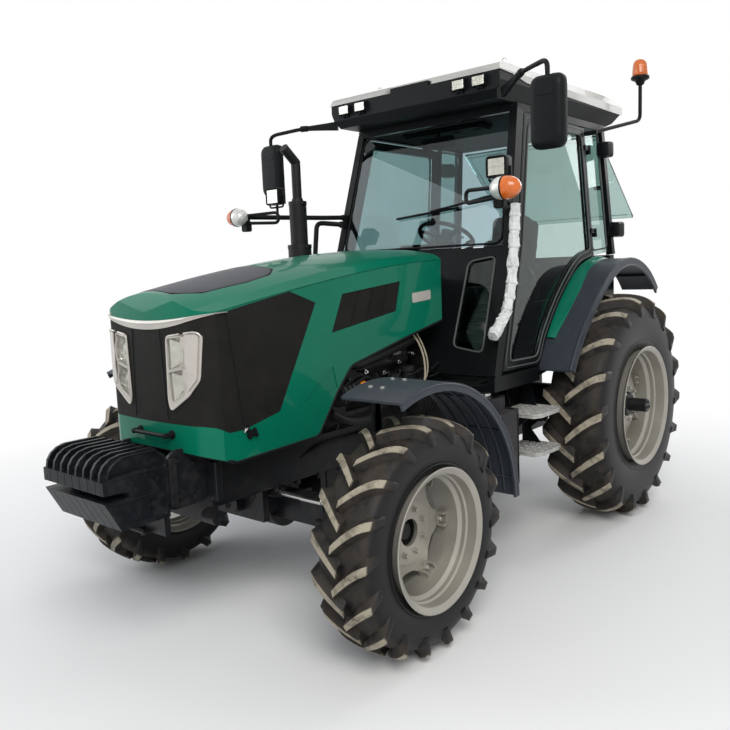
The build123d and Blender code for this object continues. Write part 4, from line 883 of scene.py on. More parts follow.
# %% Rear rims and axle ends
for sign, side in SIDES:
    low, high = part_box(f"rear_tyre_{side}")
    middle = (low + high) / 2
    rim = turn_round(rolled_rim(0.216, 0.407, 0.382, 0.352, 0.007), 112)
    steps = 144
    cone = [(0.075, 0.072), (0.09, 0.105), (0.088, 0.13), (0.05, 0.215), (0.02, 0.285), (-0.004, 0.31),
            (-0.01, 0.345)]
    back = [(x - 0.01, r) for x, r in reversed(cone)]
    dish = turn_round(cone + back, steps)
    parts = [rim, dish]
    for k in range(8):
        spot = about_x(2 * pi * (k + 0.5) / 8, 0.0)
        parts.append(moved(chunk((0.045, 0.085, 0.03), (0.002, 0, 0.334)), spot))
        for across in (-0.022, 0.022):
            head = moved(bolt(0.013, 0.02), Matrix.Translation((0.022, across, 0.326)))
            parts.append(moved(head, spot))
    for k in range(8):
        tilt = Matrix.Translation((0.086, 0, 0))
        parts.append(moved(moved(bolt(0.012, 0.022), tilt), about_x(2 * pi * k / 8, 0.112)))
    made = piece(f"dished_rim_rear_{side}", on_side(sign, join(*parts)), "rim_silver", f"rear_wheel_{side}",
        spot=middle)
    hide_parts(f"rear_rim_{side}")
    bar_shape = turn_round([(-0.2, 0.0001), (-0.2, 0.046), (0.218, 0.046), (0.224, 0.04), (0.224, 0.0001)], 48)
    boss = turn_round([(-0.06, 0.047), (-0.06, 0.085), (0.086, 0.085), (0.1, 0.074), (0.104, 0.047)], 48)
    ends = [moved(moved(bolt(0.0065, 0.008), Matrix.Translation((0.2235, 0, 0))),
        about_x(2 * pi * k / 3, 0.024)) for k in range(3)]
    piece(f"axle_end_{side}", on_side(sign, join(bar_shape, boss, *ends)), "black_iron",
          f"rear_wheel_{side}", spot=middle)
    print(made.name, len(made.data.polygons), "faces")

# %% [markdown]
# The nose carries most of the small parts. Many of them follow the curved
# sheet of the bonnet, so their points are found by casting a ray at the CAD
# surface and setting the point where the ray lands, a little proud of it.
# Flat parts with openings start as an outline with holes, which is split into
# triangles and given a thickness. Round bars are swept along a line.

# %% Helpers: outlines, tubes and places on a surface
def rounded_line(corners, reach, steps=4, closed=False):
    """The corners of a line, each cut by a smooth curve of the given reach."""
    corners = [Vector(c) for c in corners]
    count, line = len(corners), []
    for k, corner in enumerate(corners):
        if not closed and k in (0, count - 1):
            line.append(corner)
            continue
        before, after = corners[k - 1] - corner, corners[(k + 1) % count] - corner
        a = corner + before.normalized() * min(reach, before.length / 2)
        b = corner + after.normalized() * min(reach, after.length / 2)
        line += [(1 - t) ** 2 * a + 2 * t * (1 - t) * corner + t * t * b
            for t in (m / steps for m in range(steps + 1))]
    return line


def tube(path, radius, sides=12):
    """A round bar along a line; radius may be a list, one for each point."""
    path = [Vector(p) for p in path]
    radii = radius if isinstance(radius, (list, tuple)) else [radius] * len(path)
    points, side = [], None
    for k, (place, size) in enumerate(zip(path, radii)):
        ahead = (path[min(k + 1, len(path) - 1)] - path[max(k - 1, 0)]).normalized()
        side = side or ahead.orthogonal()
        side = (side - ahead * side.dot(ahead)).normalized()
        other = ahead.cross(side)
        for m in range(sides):
            a = 2 * pi * m / sides
            points.append(place + size * (cos(a) * side + sin(a) * other))
    ends = [tuple(reversed(range(sides))), tuple(len(points) - sides + m for m in range(sides))]
    return points, ring_faces(len(path), sides) + ends


def hoop(path, radius, sides=12):
    """A round bar along a closed line."""
    return tube(path + path[:1], radius, sides)


def plate(outline, holes, thick, to_space):
    """A sheet between depth 0 and thick, from a flat outline with holes."""
    loops = [[Vector((p[0], p[1], 0)) for p in loop] for loop in (outline, *holes)]
    flat = [p for loop in loops for p in loop]
    size = len(flat)
    points = [to_space(p.x, p.y, depth) for depth in (0, thick) for p in flat]
    faces = []
    for tri in tessellate_polygon(loops):
        faces += [tuple(tri), tuple(size + i for i in reversed(tri))]
    start = 0
    for loop in loops:
        for m in range(len(loop)):
            a, b = start + m, start + (m + 1) % len(loop)
            faces.append((a, b, b + size, a + size))
        start += len(loop)
    return points, faces


def skin_of(*names):
    """A search tree of CAD surfaces, for casting rays at them."""
    shapes = [([tuple(v.co) for v in nodes[n].data.vertices],
               [tuple(p.vertices) for p in nodes[n].data.polygons]) for n in names]
    return BVHTree.FromPolygons(*join(*shapes))


def arc(a, via, b, steps):
    """Points on the circle through three flat points."""
    (ax, ay), (bx, by), (cx, cy) = a, via, b
    d = 2 * (ax * (by - cy) + bx * (cy - ay) + cx * (ay - by))
    a2, b2, c2 = (p * p + q * q for p, q in (a, via, b))
    x = (a2 * (by - cy) + b2 * (cy - ay) + c2 * (ay - by)) / d
    y = (a2 * (cx - bx) + b2 * (ax - cx) + c2 * (bx - ax)) / d
    first, middle, last = (atan2(q - y, p - x) for p, q in (a, via, b))
    turn = 2 * pi
    if not (first <= middle <= last or first >= middle >= last):
        first, middle, last = (v % turn for v in (first, middle, last))
    radius = hypot(ax - x, ay - y)
    angles = [first + (last - first) * k / steps for k in range(steps + 1)]
    return [(x + radius * cos(v), y + radius * sin(v)) for v in angles]


nose_skin = skin_of("bonnet", "grille", "headlights")
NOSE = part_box("grille")[0].y


def nose_place(x, z, proud=0.0):
    """A point on the nose, seen from the front."""
    hit = nose_skin.ray_cast(Vector((x, -2.6, z)), Vector((0, 1, 0)))[0]
    return Vector((x, (hit.y if hit and hit.y < -1.6 else -1.8) - proud, z))


print("nose stands at y =", round(NOSE, 3))

# %% [markdown]
# Under the lip of the bonnet runs a bright crescent moulding, tallest in the
# middle and thin at the corners. It follows the plan of the nose, so it is
# built as columns of points along that plan, with a ridge a third of the way
# down that catches the light.

# %% Nose moulding
def plan_arc(points, steps):
    """An arc through three places, given as x and how far behind the nose."""
    return arc(*[(x, NOSE + back) for x, back in points], steps)


plan = plan_arc(((-0.402, 0.155), (-0.378, 0.069), (-0.3, 0.017)), 12)[:-1]
plan += plan_arc(((-0.3, 0.017), (0, 0.0), (0.3, 0.017)), 30)[:-1]
plan += plan_arc(((0.3, 0.017), (0.378, 0.069), (0.402, 0.155)), 12)
points = []
for k, (x, y) in enumerate(plan):
    before, after = plan[max(k - 1, 0)], plan[min(k + 1, len(plan) - 1)]
    out = Vector((after[1] - before[1], before[0] - after[0], 0)).normalized()
    share = 1 - (abs(x) / 0.402) ** 2
    top, low = 1.611 - 0.034 * share, 1.606 - 0.069 * share
    for proud, part in ((-0.004, 0.0), (0.004, 0.0), (0.01, 0.3), (0.007, 0.42), (0.004, 1.0), (-0.004, 1.0)):
        points.append(Vector((x, y, top + (low - top) * part)) + out * proud)
faces = ring_faces(len(plan), 6) + [tuple(range(6)), tuple(6 * (len(plan) - 1) + m for m in reversed(range(6)))]
made = piece("nose_moulding", (points, faces), "lamp_frame", "bonnet", angle=25)
print(made.name, "spans", round(2 * plan[-1][0], 3), "m")

# %% [markdown]
# The wire cloth is stretched over a frame, and thin ribs show where its panels
# meet: two on the front and one on each side.

# %% Grille ribs
ribs = []
for side in (-1, 1):
    front = [nose_place(side * (0.108 + 0.02 * t), 1.535 - 0.41 * t, -0.0005)
        for t in (k / 10 for k in range(11))]
    ribs += [tube(front, 0.0042, 8), tube([(side * 0.3945, -1.8, 1.612), (side * 0.395, -1.765, 1.34),
        (side * 0.3945, -1.732, 1.075)], 0.0042, 8)]
piece("grille_ribs", ribs, "trim_black", "bonnet")
print("four grille ribs")

# %% [markdown]
# Each headlight is a frame with two windows, one above the other. Behind each
# window is a faceted reflector with a round bulb, and a clear cover closes the
# window. The frame comes from an outline with holes, laid on the nose.

# %% Headlights
LAMP_OUT = ((0.16, 1.509), (0.34, 1.531), (0.361, 1.511), (0.344, 1.317), (0.288, 1.249), (0.163, 1.171),
    (0.15, 1.219))
WINDOWS = (
    ((0.162, 1.499), (0.262, 1.511), (0.252, 1.486), (0.27, 1.44), (0.262, 1.378), (0.16, 1.356)),
    ((0.16, 1.346), (0.264, 1.368), (0.25, 1.33), (0.268, 1.292), (0.252, 1.252), (0.17, 1.212)),
)


def fine(loop, step=0.018):
    """The same loop with points at most a step apart."""
    line = []
    for a, b in zip(loop, loop[1:] + loop[:1]):
        a, b = Vector(a), Vector(b)
        cuts = max(1, int((b - a).length / step))
        line += [a + (b - a) * k / cuts for k in range(cuts)]
    return line


def swelled(loop, grow):
    """The loop moved outwards from its middle by a distance."""
    middle = sum(loop, Vector((0, 0))) / len(loop)
    return [p + (p - middle).normalized() * grow for p in loop]


for side, name in SIDES:

    def lamp_place(proud):
        return lambda u, v, depth: nose_place(side * u, v, proud - depth)

    outer = fine(rounded_line(LAMP_OUT, 0.022, closed=True))
    windows = [fine(rounded_line(w, 0.012, closed=True)) for w in WINDOWS]
    wide_band = [(0.283, 1.519), (0.337, 1.524), (0.35, 1.508), (0.334, 1.322), (0.284, 1.262), (0.277, 1.3),
        (0.287, 1.35), (0.277, 1.42), (0.286, 1.47)]
    band = fine(rounded_line(wide_band, 0.01, closed=True))
    frame_part = plate(outer, windows, 0.02, lamp_place(0.005))
    rims = [plate(swelled(w, 0.004), [swelled(w, -0.001)], 0.004, lamp_place(0.008)) for w in windows]
    edge = tube([nose_place(side * p.x, p.y, 0.005) for p in outer + outer[:1]], 0.0045, 8)
    raised = plate(band, [], 0.006, lamp_place(0.01))
    made = piece(f"headlight_frame_{name}", [frame_part, *rims, edge, raised], "lamp_frame", "bonnet",
        angle=20)
    if side > 0:
        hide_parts("headlights")
    bowls = []
    for w, line in zip(WINDOWS, windows):
        middle = sum(line, Vector((0, 0))) / len(line)
        rings = []
        for deep, size, shift in (
            (0.01, 1.03, 0.0), (0.03, 0.8, 0.004), (0.052, 0.5, 0.012), (0.056, 0.02, 0.012),
        ):
            rings.append([nose_place(side * (middle.x + shift + (p.x - middle.x) * size),
                middle.y + (p.y - middle.y) * size, -deep) for p in line])
        bowls.append(([p for ring in rings for p in ring], ring_faces(4, len(line))))
        blade_low = nose_place(side * w[5][0], w[5][1] + 0.004, -0.012)
        blade_high = nose_place(side * w[2][0], w[4][1] + 0.036, -0.012)
        deep_end = nose_place(side * (middle.x + 0.03), middle.y, -0.045)
        lift = Vector((0, 0, 0.004))
        bowls.append(([blade_low, blade_high, deep_end, blade_low - lift, blade_high - lift, deep_end - lift],
            [(0, 1, 2), (5, 4, 3), (0, 3, 4, 1), (1, 4, 5, 2), (2, 5, 3, 0)]))
    piece(f"headlight_bowls_{name}", bowls, "reflector", "bonnet", angle=18)
    bulbs = []
    for line in windows:
        middle = sum(line, Vector((0, 0))) / len(line)
        centre = nose_place(side * (middle.x + 0.014), middle.y, -0.052)
        ball = [(0.0, 0.0001), (0.0, 0.02), (0.01, 0.026), (0.022, 0.022), (0.03, 0.012), (0.033, 0.0001)]
        bulbs.append(moved(turn_round(ball, 24), Matrix.Translation(centre) @ Matrix.Rotation(-pi / 2, 4, "Z")))
    piece(f"headlight_bulbs_{name}", bulbs, "clear_lens", "bonnet")
    covers = [plate(swelled(w, -0.0005), [], 0.003, lamp_place(0.001)) for w in windows]
    piece(f"headlight_covers_{name}", covers, "lamp_glass", "bonnet", angle=10)
print("two headlights, each with two windows")

# %% [markdown]
# The intake on top is the same wire cloth, laid in a shallow sink. Its sheet
# is a grid of rays cast down inside the outline, and it arches a little, as
# pressed cloth does.

# %% Intake cloth
SCOOP_EDGE = ((0.15, 0.048), (0.235, 0.152), (0.262, 0.4), (0.252, 0.56), (0.19, 0.64))
right_side = [Vector(p) for p in SCOOP_EDGE]
scoop_line = right_side + [Vector((-p.x, p.y)) for p in reversed(right_side)]
scoop_line = fine([tuple(p) for p in rounded_line(scoop_line, 0.05, closed=True)], 0.02)
rings = []
middle = Vector((0, 0.34))
for size in (0.975, 0.93, 0.8, 0.6, 0.4, 0.2, 0.02):
    ring = []
    for p in scoop_line:
        q = middle + (p - middle) * size
        hit = nose_skin.ray_cast(Vector((q.x, -1.952 + q.y, 2.2)), Vector((0, 0, -1)))[0]
        ring.append(hit + Vector((0, 0, 0.0012 if size > 0.95 else 0.003)))
    rings.append(ring)
points = [p for ring in rings for p in ring]
faces = ring_faces(len(rings), len(scoop_line))
made = piece("intake_cloth", (points, faces), "scoop_mesh", "bonnet", angle=40)
print(made.name, len(faces), "faces")

# %% [markdown]
# The handle, the rubber catch and the seal along the bonnet's lower edge are
# black. Sleeves a millimetre larger than the CAD bars stand for the dipped
# plastic on the handle.

# %% Handle, catch, seal and blank plate
NOSE_FACE = -1.952
sleeves = [tube([(-0.107, NOSE_FACE - 0.037, 1.06), (0.162, NOSE_FACE - 0.037, 1.06)], 0.01, 16)]
for x in (-0.095, 0.15):
    sleeves += [tube([(x, NOSE_FACE - 0.002, 1.06), (x, NOSE_FACE - 0.046, 1.06),
        (x, NOSE_FACE - 0.0495, 1.06)], [0.0125, 0.0125, 0.0095], 16),
        tube([(x, NOSE_FACE + 0.01, 1.06), (x, NOSE_FACE - 0.006, 1.06)], 0.021, 16)]
piece("bonnet_handle_grip", sleeves, "trim_black", "bonnet")
lean = Matrix.Rotation(radians(28), 3, "X")
for side, name in SIDES:
    catch = [chunk((0.016, 0.06, 0.03), (side * 0.401, -1.694, 1.044), lean, 0.3),
        chunk((0.01, 0.022, 0.04), (side * 0.4, -1.716, 1.062), lean, 0.2),
        chunk((0.022, 0.018, 0.014), (side * 0.408, -1.674, 1.036), lean, 0.3)]
    piece(f"bonnet_catch_{name}", catch, "trim_black", "bonnet", angle=40)
    pin = join(tube([(side * 0.396, -1.726, 1.076), (side * 0.404, -1.738, 1.066)], 0.005, 8),
               tube([(side * 0.404, -1.722, 1.074), (side * 0.404, -1.744, 1.058)], 0.004, 8))
    piece(f"catch_pin_{name}", pin, "bright_steel", "bonnet")
EDGE = ((-0.147, 1.449), (-0.496, 1.38), (-0.985, 1.273), (-1.102, 1.15), (-1.252, 0.949), (-1.8, 0.93))
seal_line = [(0.391, y, z - 0.004) for y, z in EDGE]
cross = [(x * 0.975, y + 0.008, 0.926 + 0.058 * max(0.0, 1 - (y - NOSE_FACE) / 0.16))
    for x, y in reversed(plan)]
whole = seal_line + [Vector(p) for p in cross] + [(-x, y, z) for x, y, z in reversed(seal_line)]
piece("bonnet_seal", tube(rounded_line(whole, 0.03, 3), 0.009, 8), "trim_black", "bonnet", angle=50)
plates = []
for side in (1, -1):
    outline = rounded_line([(-0.44, 1.566), (-0.262, 1.578), (-0.262, 1.634), (-0.44, 1.622)], 0.012,
        closed=True)
    plates.append(plate(outline, [], 0.004, lambda u, v, depth: Vector((side * (0.3945 + depth), u, v))))
piece("blank_plates", plates, "lamp_frame", "bonnet", angle=20)
print("nose furniture done")

# %% [markdown]
# The cab's outside fittings hang on arms: mirrors, indicators, work lamps and
# the warning beacon. A lamp is always three things, and is built as such: a
# dark housing, a bright reflector inside it and a lens in front. The lenses
# here are moulded with small prisms, which the finish draws as a bumpy relief.

# %% Helpers: rounded frames
def round_box(wide, high, radius, steps=4):
    """A flat rectangle with rounded corners, about its middle."""
    corners = ((-wide / 2, -high / 2), (wide / 2, -high / 2), (wide / 2, high / 2), (-wide / 2, high / 2))
    return rounded_line(corners, radius, steps, closed=True)


def lofted(rings, close=True):
    """Faces between rings of equal count, with flat ends."""
    count = len(rings[0])
    points = [p for ring in rings for p in ring]
    faces = ring_faces(len(rings), count)
    if close:
        faces += [tuple(range(count)), tuple(len(points) - count + m for m in reversed(range(count)))]
    return points, faces


def set_at(place, turn=None):
    """A matrix that turns a shape and then sets it in place."""
    return Matrix.Translation(place) @ (turn.to_4x4() if turn else Matrix.Identity(4))


def side_bolt(side, place, radius, length):
    """A bolt head that faces out of the left or the right side."""
    return moved(bolt(radius, length), set_at(place) @ Matrix.Rotation(0 if side > 0 else pi, 4, "Z"))


def lamp_set(name, place, wide, high, deep, turn=None, housing=True):
    """A square lamp that faces -y: housing with a rim, cells of reflector, lens."""
    where = set_at(place, turn)
    if housing:
        rings = [[Vector((p.x * s, y, p.y * s)) for p in round_box(wide, high, 0.012)]
            for y, s in ((deep, 0.72), (deep * 0.7, 0.92), (0.004, 1.0), (-0.006, 1.0), (-0.006, 0.9),
            (0.006, 0.86))]
        shell = moved(lofted(rings), where)
        piece(f"{name}_housing", shell, "trim_black", angle=35)
    cells = []
    for i in (-1, 0, 1):
        for k in (-0.5, 0.5):
            cx, cz = i * wide * 0.27, k * high * 0.4
            rings = []
            for y, s in ((-0.0035, 0.98), (0.004, 0.8), (0.01, 0.42)):
                rings.append([Vector((cx + a * wide * 0.135 * s, y, cz + b * high * 0.2 * s))
                    for a, b in ((-1, -1), (1, -1), (1, 1), (-1, 1))])
            cells.append(lofted(rings))
    piece(f"{name}_cells", moved(join(*cells), where), "reflector", angle=15)
    rings = [[Vector((p.x * s, y, p.y * s)) for p in round_box(wide * 0.88, high * 0.86, 0.008)]
             for y, s in ((-0.0045, 1.0), (-0.0085, 0.97), (-0.0095, 0.8))]
    piece(f"{name}_lens", moved(lofted(rings), where), "lamp_glass", angle=35)


# %% Lamps under the roof
for k, x in enumerate((-0.537, -0.394, 0.394, 0.537)):
    lamp_set(f"visor_lamp_{k + 1}", (x, 0.088, 2.852), 0.096, 0.062, 0.03)
    feet = [chunk((0.012, 0.02, 0.016), (x - 0.018, 0.106, 2.812)),
        chunk((0.012, 0.02, 0.016), (x + 0.018, 0.106, 2.812)),
        moved(bolt(0.005, 0.006), set_at((x, 0.092, 2.813), Matrix.Rotation(-pi / 2, 3, "Z")))]
    piece(f"visor_lamp_foot_{k + 1}", feet, "trim_black")
print("four lamps under the visor")

# %% [markdown]
# The roof is lifted by two eye bolts at its front corners and two at the
# back. An eye bolt is a ring on a short collar; the ring is a circle of
# points swept as a round bar and closed on itself.

# %% Eye bolts on the roof
roof_skin = skin_of("roof")
eyes = []
for x in (-0.504, 0.504):
    for y in (0.454, 1.56):
        hit = roof_skin.ray_cast(Vector((x, y, 3.3)), Vector((0, 0, -1)))[0]
        ring = [hit + Vector((0.015 * cos(a), 0, 0.022 + 0.015 * sin(a)))
                for a in (2 * pi * k / 16 for k in range(17))]
        eyes += [tube(ring, 0.0035, 8), tube([hit - Vector((0, 0, 0.002)), hit + Vector((0, 0, 0.004)),
            hit + Vector((0, 0, 0.009))], [0.014, 0.014, 0.008], 16)]
piece("roof_eye_bolts", eyes, "bright_steel")
print("four eye bolts")

# %% [markdown]
# A mirror head is a moulded shell, fullest just behind its rim and bevelled
# towards the front. The arm is a flat tapered casting on the roof, and a bent
# tube drops from it into the head. The glass faces the driver.

# %% Mirrors
for side, name, head, arm in (
    (1, "left", (1.165, -0.262, 2.53), ((0.6636, 0.16, 2.772), (0.9, -0.06, 2.8), (1.165, -0.262, 2.79))),
    (-1, "right", (-1.185, 0.0, 2.51), ((-0.6558, 0.16, 2.772), (-0.9, 0.06, 2.776), (-1.185, 0.0, 2.76))),
):
    middle = Vector(head)
    rings = []
    for y, wide, high in (
        (0.034, 0.176, 0.354), (0.03, 0.188, 0.368), (0.01, 0.19, 0.37), (-0.01, 0.184, 0.362),
        (-0.026, 0.166, 0.34), (-0.033, 0.14, 0.31), (-0.035, 0.118, 0.286),
    ):
        rings.append([middle + Vector((p.x, y, p.y)) for p in round_box(wide, high, 0.052, 6)])
    shell = lofted(rings)
    panel = plate([(-0.052, 0.078), (0.052, 0.078), (0.04, 0.112), (-0.04, 0.112)], [], 0.003,
        lambda u, v, depth: middle + Vector((u, -0.0345 - depth, v)))
    piece(f"mirror_shell_{name}", [shell, panel], "trim_black", angle=32)
    glass = [[middle + Vector((p.x * s, y, p.y * s)) for p in round_box(0.16, 0.336, 0.046, 6)]
             for y, s in ((0.0335, 1.0), (0.0365, 0.985))]
    piece(f"mirror_glass_{name}", lofted(glass), "mirror_silver", angle=20)
    foot, knee, drop = (Vector(p) for p in arm)
    ahead = (knee - foot).normalized()
    flat = ahead.cross(Vector((0, 0, 1))).normalized()
    rings = []
    for t, wide, high in ((0.02, 0.03, 0.062), (0.3, 0.028, 0.05), (0.75, 0.024, 0.036), (1.0, 0.022, 0.032)):
        at = foot + (knee - foot) * t
        rings.append([at + flat * p.x + Vector((0, 0, p.y)) for p in round_box(wide, high, 0.008, 3)])
    bend = rounded_line([foot + (knee - foot) * 0.8, knee + ahead * 0.02, drop, middle + Vector((0, 0, 0.172))],
        0.07, 8)
    clamp = tube([knee - ahead * 0.03, knee + ahead * 0.02], 0.021, 16)
    made = piece(f"mirror_arm_{name}", [lofted(rings), tube(bend, 0.013, 14), clamp], "trim_black")
    if side > 0:
        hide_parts("mirrors")
print("two mirrors")

# %% [markdown]
# The indicators are egg-shaped and show both ways: the half towards the cab is
# clear, the outer half amber. Each sits on a bracket at the end of its arm,
# with a square work lamp beside it.

# %% Indicators and work lamps
for side, name in SIDES:
    middle = Vector((side * 1.0385, -0.483, 2.15))
    egg = [(-0.082, 0.0001), (-0.079, 0.022), (-0.066, 0.042), (-0.046, 0.0545), (-0.022, 0.06), (0.0, 0.0605)]
    tip = [(0.0, 0.0605), (0.03, 0.0575), (0.054, 0.049), (0.072, 0.036), (0.084, 0.019), (0.089, 0.0001)]
    for part, profile, finish in (("clear", egg, "clear_lens"), ("amber", tip, "amber_lens")):
        piece(f"indicator_{part}_{name}", on_side(side, turn_round(profile, 48), middle), finish,
            angle=40)
    band = turn_round([(-0.004, 0.058), (-0.004, 0.0625), (0.004, 0.0625), (0.004, 0.058)], 48)
    band = on_side(1, band, middle)
    bracket = join(band, chunk((0.06, 0.05, 0.07), middle + Vector((-side * 0.05, 0.035, -0.062)), bevel=0.12),
        chunk((0.02, 0.07, 0.03), middle + Vector((-side * 0.06, 0.02, -0.02)), bevel=0.2),
        tube(rounded_line([middle + Vector((-side * 0.055, 0.03, -0.04)),
        middle + Vector((-side * 0.3, 0.1, -0.052)), middle + Vector((-side * 0.3, 0.1, 0.018)),
        middle + Vector((-side * 0.055, 0.03, 0.01))], 0.035, 5), 0.011, 10))
    piece(f"indicator_bracket_{name}", bracket, "trim_black", angle=35)
    x = side * 0.8785
    lamp_set(f"work_lamp_{name}", (x, -0.297, 2.286), 0.118, 0.108, 0.05, housing=False)
    frame_rings = [[Vector((x + p.x * s, y, 2.286 + p.y * s)) for p in round_box(0.126, 0.116, 0.02)]
        for y, s in ((-0.224, 0.8), (-0.24, 0.97), (-0.298, 1.0), (-0.304, 0.97), (-0.304, 0.9),
        (-0.292, 0.86))]
    yoke = tube(rounded_line([(x - 0.066, -0.262, 2.286), (x - 0.066, -0.262, 2.214),
        (x + 0.066, -0.262, 2.214), (x + 0.066, -0.262, 2.286)], 0.018, 4), 0.0065, 8)
    piece(f"work_lamp_rim_{name}", [lofted(frame_rings), yoke], "trim_black", angle=32)
print("indicators and work lamps on both sides")

# %% [markdown]
# The beacon stands on a cranked black tube. Its cup is black and its dome is
# amber, with fine upright ribs moulded into the lens: the profile is turned
# round with its radius rippled.

# %% Beacon
foot = Vector((0.6764, 1.332, 2.655))
knee = foot + Vector((0.124, 0.603, 0.14))
lamp = knee + Vector((0, 0, 0.283))
arm = tube(rounded_line([foot, knee, knee + Vector((0, 0, 0.275))], 0.05, 6), 0.0135, 14)
plug = join(
    tube([lamp + Vector((0, 0, z)) for z in (-0.03, -0.022, 0.0, 0.01)], [0.017, 0.028, 0.036, 0.058], 40),
    tube([lamp + Vector((0, 0, z)) for z in (0.01, 0.016, 0.03, 0.036)], [0.058, 0.066, 0.067, 0.062], 40),
    chunk((0.105, 0.022, 0.03), foot + Vector((0, -0.003, 0)), bevel=0.2),
)
made = piece("beacon_arm", [arm, plug], "trim_black", angle=35)
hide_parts("beacon")
rings = []
for z, radius in ((0.034, 0.052), (0.04, 0.057), (0.06, 0.0565), (0.1, 0.054), (0.128, 0.05), (0.146, 0.041),
                  (0.156, 0.026), (0.1595, 0.01), (0.16, 0.002)):
    ring = []
    for k in range(96):
        a = 2 * pi * k / 96
        wave = 1 + (0.012 * cos(24 * a) if 0.05 < z < 0.14 else 0)
        ring.append(lamp + Vector((radius * wave * cos(a), radius * wave * sin(a), z)))
    rings.append(ring)
piece("beacon_dome", lofted(rings), "amber_lens", angle=60)
print("beacon top at", round(lamp.z + 0.16, 3))

# %% [markdown]
# The grab rails are bent tubes. The one on the door side still wears its
# transport film: strips of thin plastic wound round the tube, puckered where
# they overlap and loose at the bottom. The film is a tube of points pushed in
# and out by noise, with a step at each turn of the strip.

# %% Grab rails and the film
RAIL = ((0.8, 0.045, 2.11), (0.8, 0.02, 1.93), (0.8, -0.01, 1.69), (0.8, -0.075, 1.507),
        (0.8, -0.15, 1.43), (0.8, -0.235, 1.365))
bars = []
for side in (1, -1):
    line = [Vector((side * x, y, z)) for x, y, z in RAIL]
    head, low = Vector((side * 0.668, 0.176, 2.09)), Vector((side * 0.7236, -0.128, 1.345))
    bars += [tube(rounded_line([head] + line + [low], 0.045, 5), 0.0172, 14),
        chunk((0.05, 0.042, 0.046), head, bevel=0.15), chunk((0.05, 0.042, 0.046), low, bevel=0.15)]
made = piece("rail_bars", bars, "trim_black")
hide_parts("grab_rails")
line = smooth_line(RAIL, 34)
points, count = [], 30
random.seed(4)
turn_step = 15
for k, at in enumerate(line):
    ahead = (line[min(k + 1, len(line) - 1)] - line[max(k - 1, 0)]).normalized()
    side_way = ahead.cross(Vector((1, 0, 0))).normalized()
    share = (k % turn_step) / turn_step
    for m in range(count):
        a = 2 * pi * m / count
        way = cos(a) * Vector((1, 0, 0)) + sin(a) * side_way
        lump = noise.noise(Vector((k * 0.11, 2.3 * cos(a), 2.3 * sin(a))))
        crease = noise.noise(Vector((k * 0.75, 4.0 * cos(a) + 9, 4.0 * sin(a))))
        size = 0.0235 + 0.006 * share + 0.01 * max(0.0, lump + 0.2) + 0.005 * crease
        if k > len(line) - 22:
            size += 0.004
        points.append(at + way * max(size, 0.0185))
faces = ring_faces(len(line), count)
faces += [tuple(reversed(range(count))), tuple(len(points) - count + m for m in range(count))]
piece("rail_film", (points, faces), "wrapped_rail", angle=24)
print("film of", len(faces), "faces")

# %% [markdown]
# The cab's sides lean inwards. A point on them is given by how far back it is
# and how high, and this helper adds the lean. The seals round the doors and
# the low front windows are thin grey beads that follow the edge of the glass
# with rounded corners.

# %% Helpers: points on the cab side
REAR_AXLE_Y, REAR_AXLE_Z = 1.2, 0.765


def cab_half(z):
    """Half the cab's width at a height."""
    return 0.765 - 0.075 * (z - 1.1)


def side_at(side, y, z, out=0.0):
    return Vector((side * (cab_half(z) + out), y, z))


def shrunk(loop, distance):
    """A flat loop moved inwards by the same distance all round."""
    loop = [Vector(p) for p in loop]
    area = sum(a.x * b.y - b.x * a.y for a, b in zip(loop, loop[1:] + loop[:1]))
    sign = 1 if area > 0 else -1
    result = []
    for k, corner in enumerate(loop):
        a = (corner - loop[k - 1]).normalized()
        b = (loop[(k + 1) % len(loop)] - corner).normalized()
        inward = sign * (Vector((-a.y, a.x)) + Vector((-b.y, b.x)))
        result.append(corner + inward.normalized() * distance / max(0.35, cos(a.angle(b, 0) / 2)))
    return result


def over_tyre(angle, clear):
    a, reach = radians(angle), REAR_AXLE_Z + clear
    return (REAR_AXLE_Y + reach * cos(a), REAR_AXLE_Z + reach * sin(a))


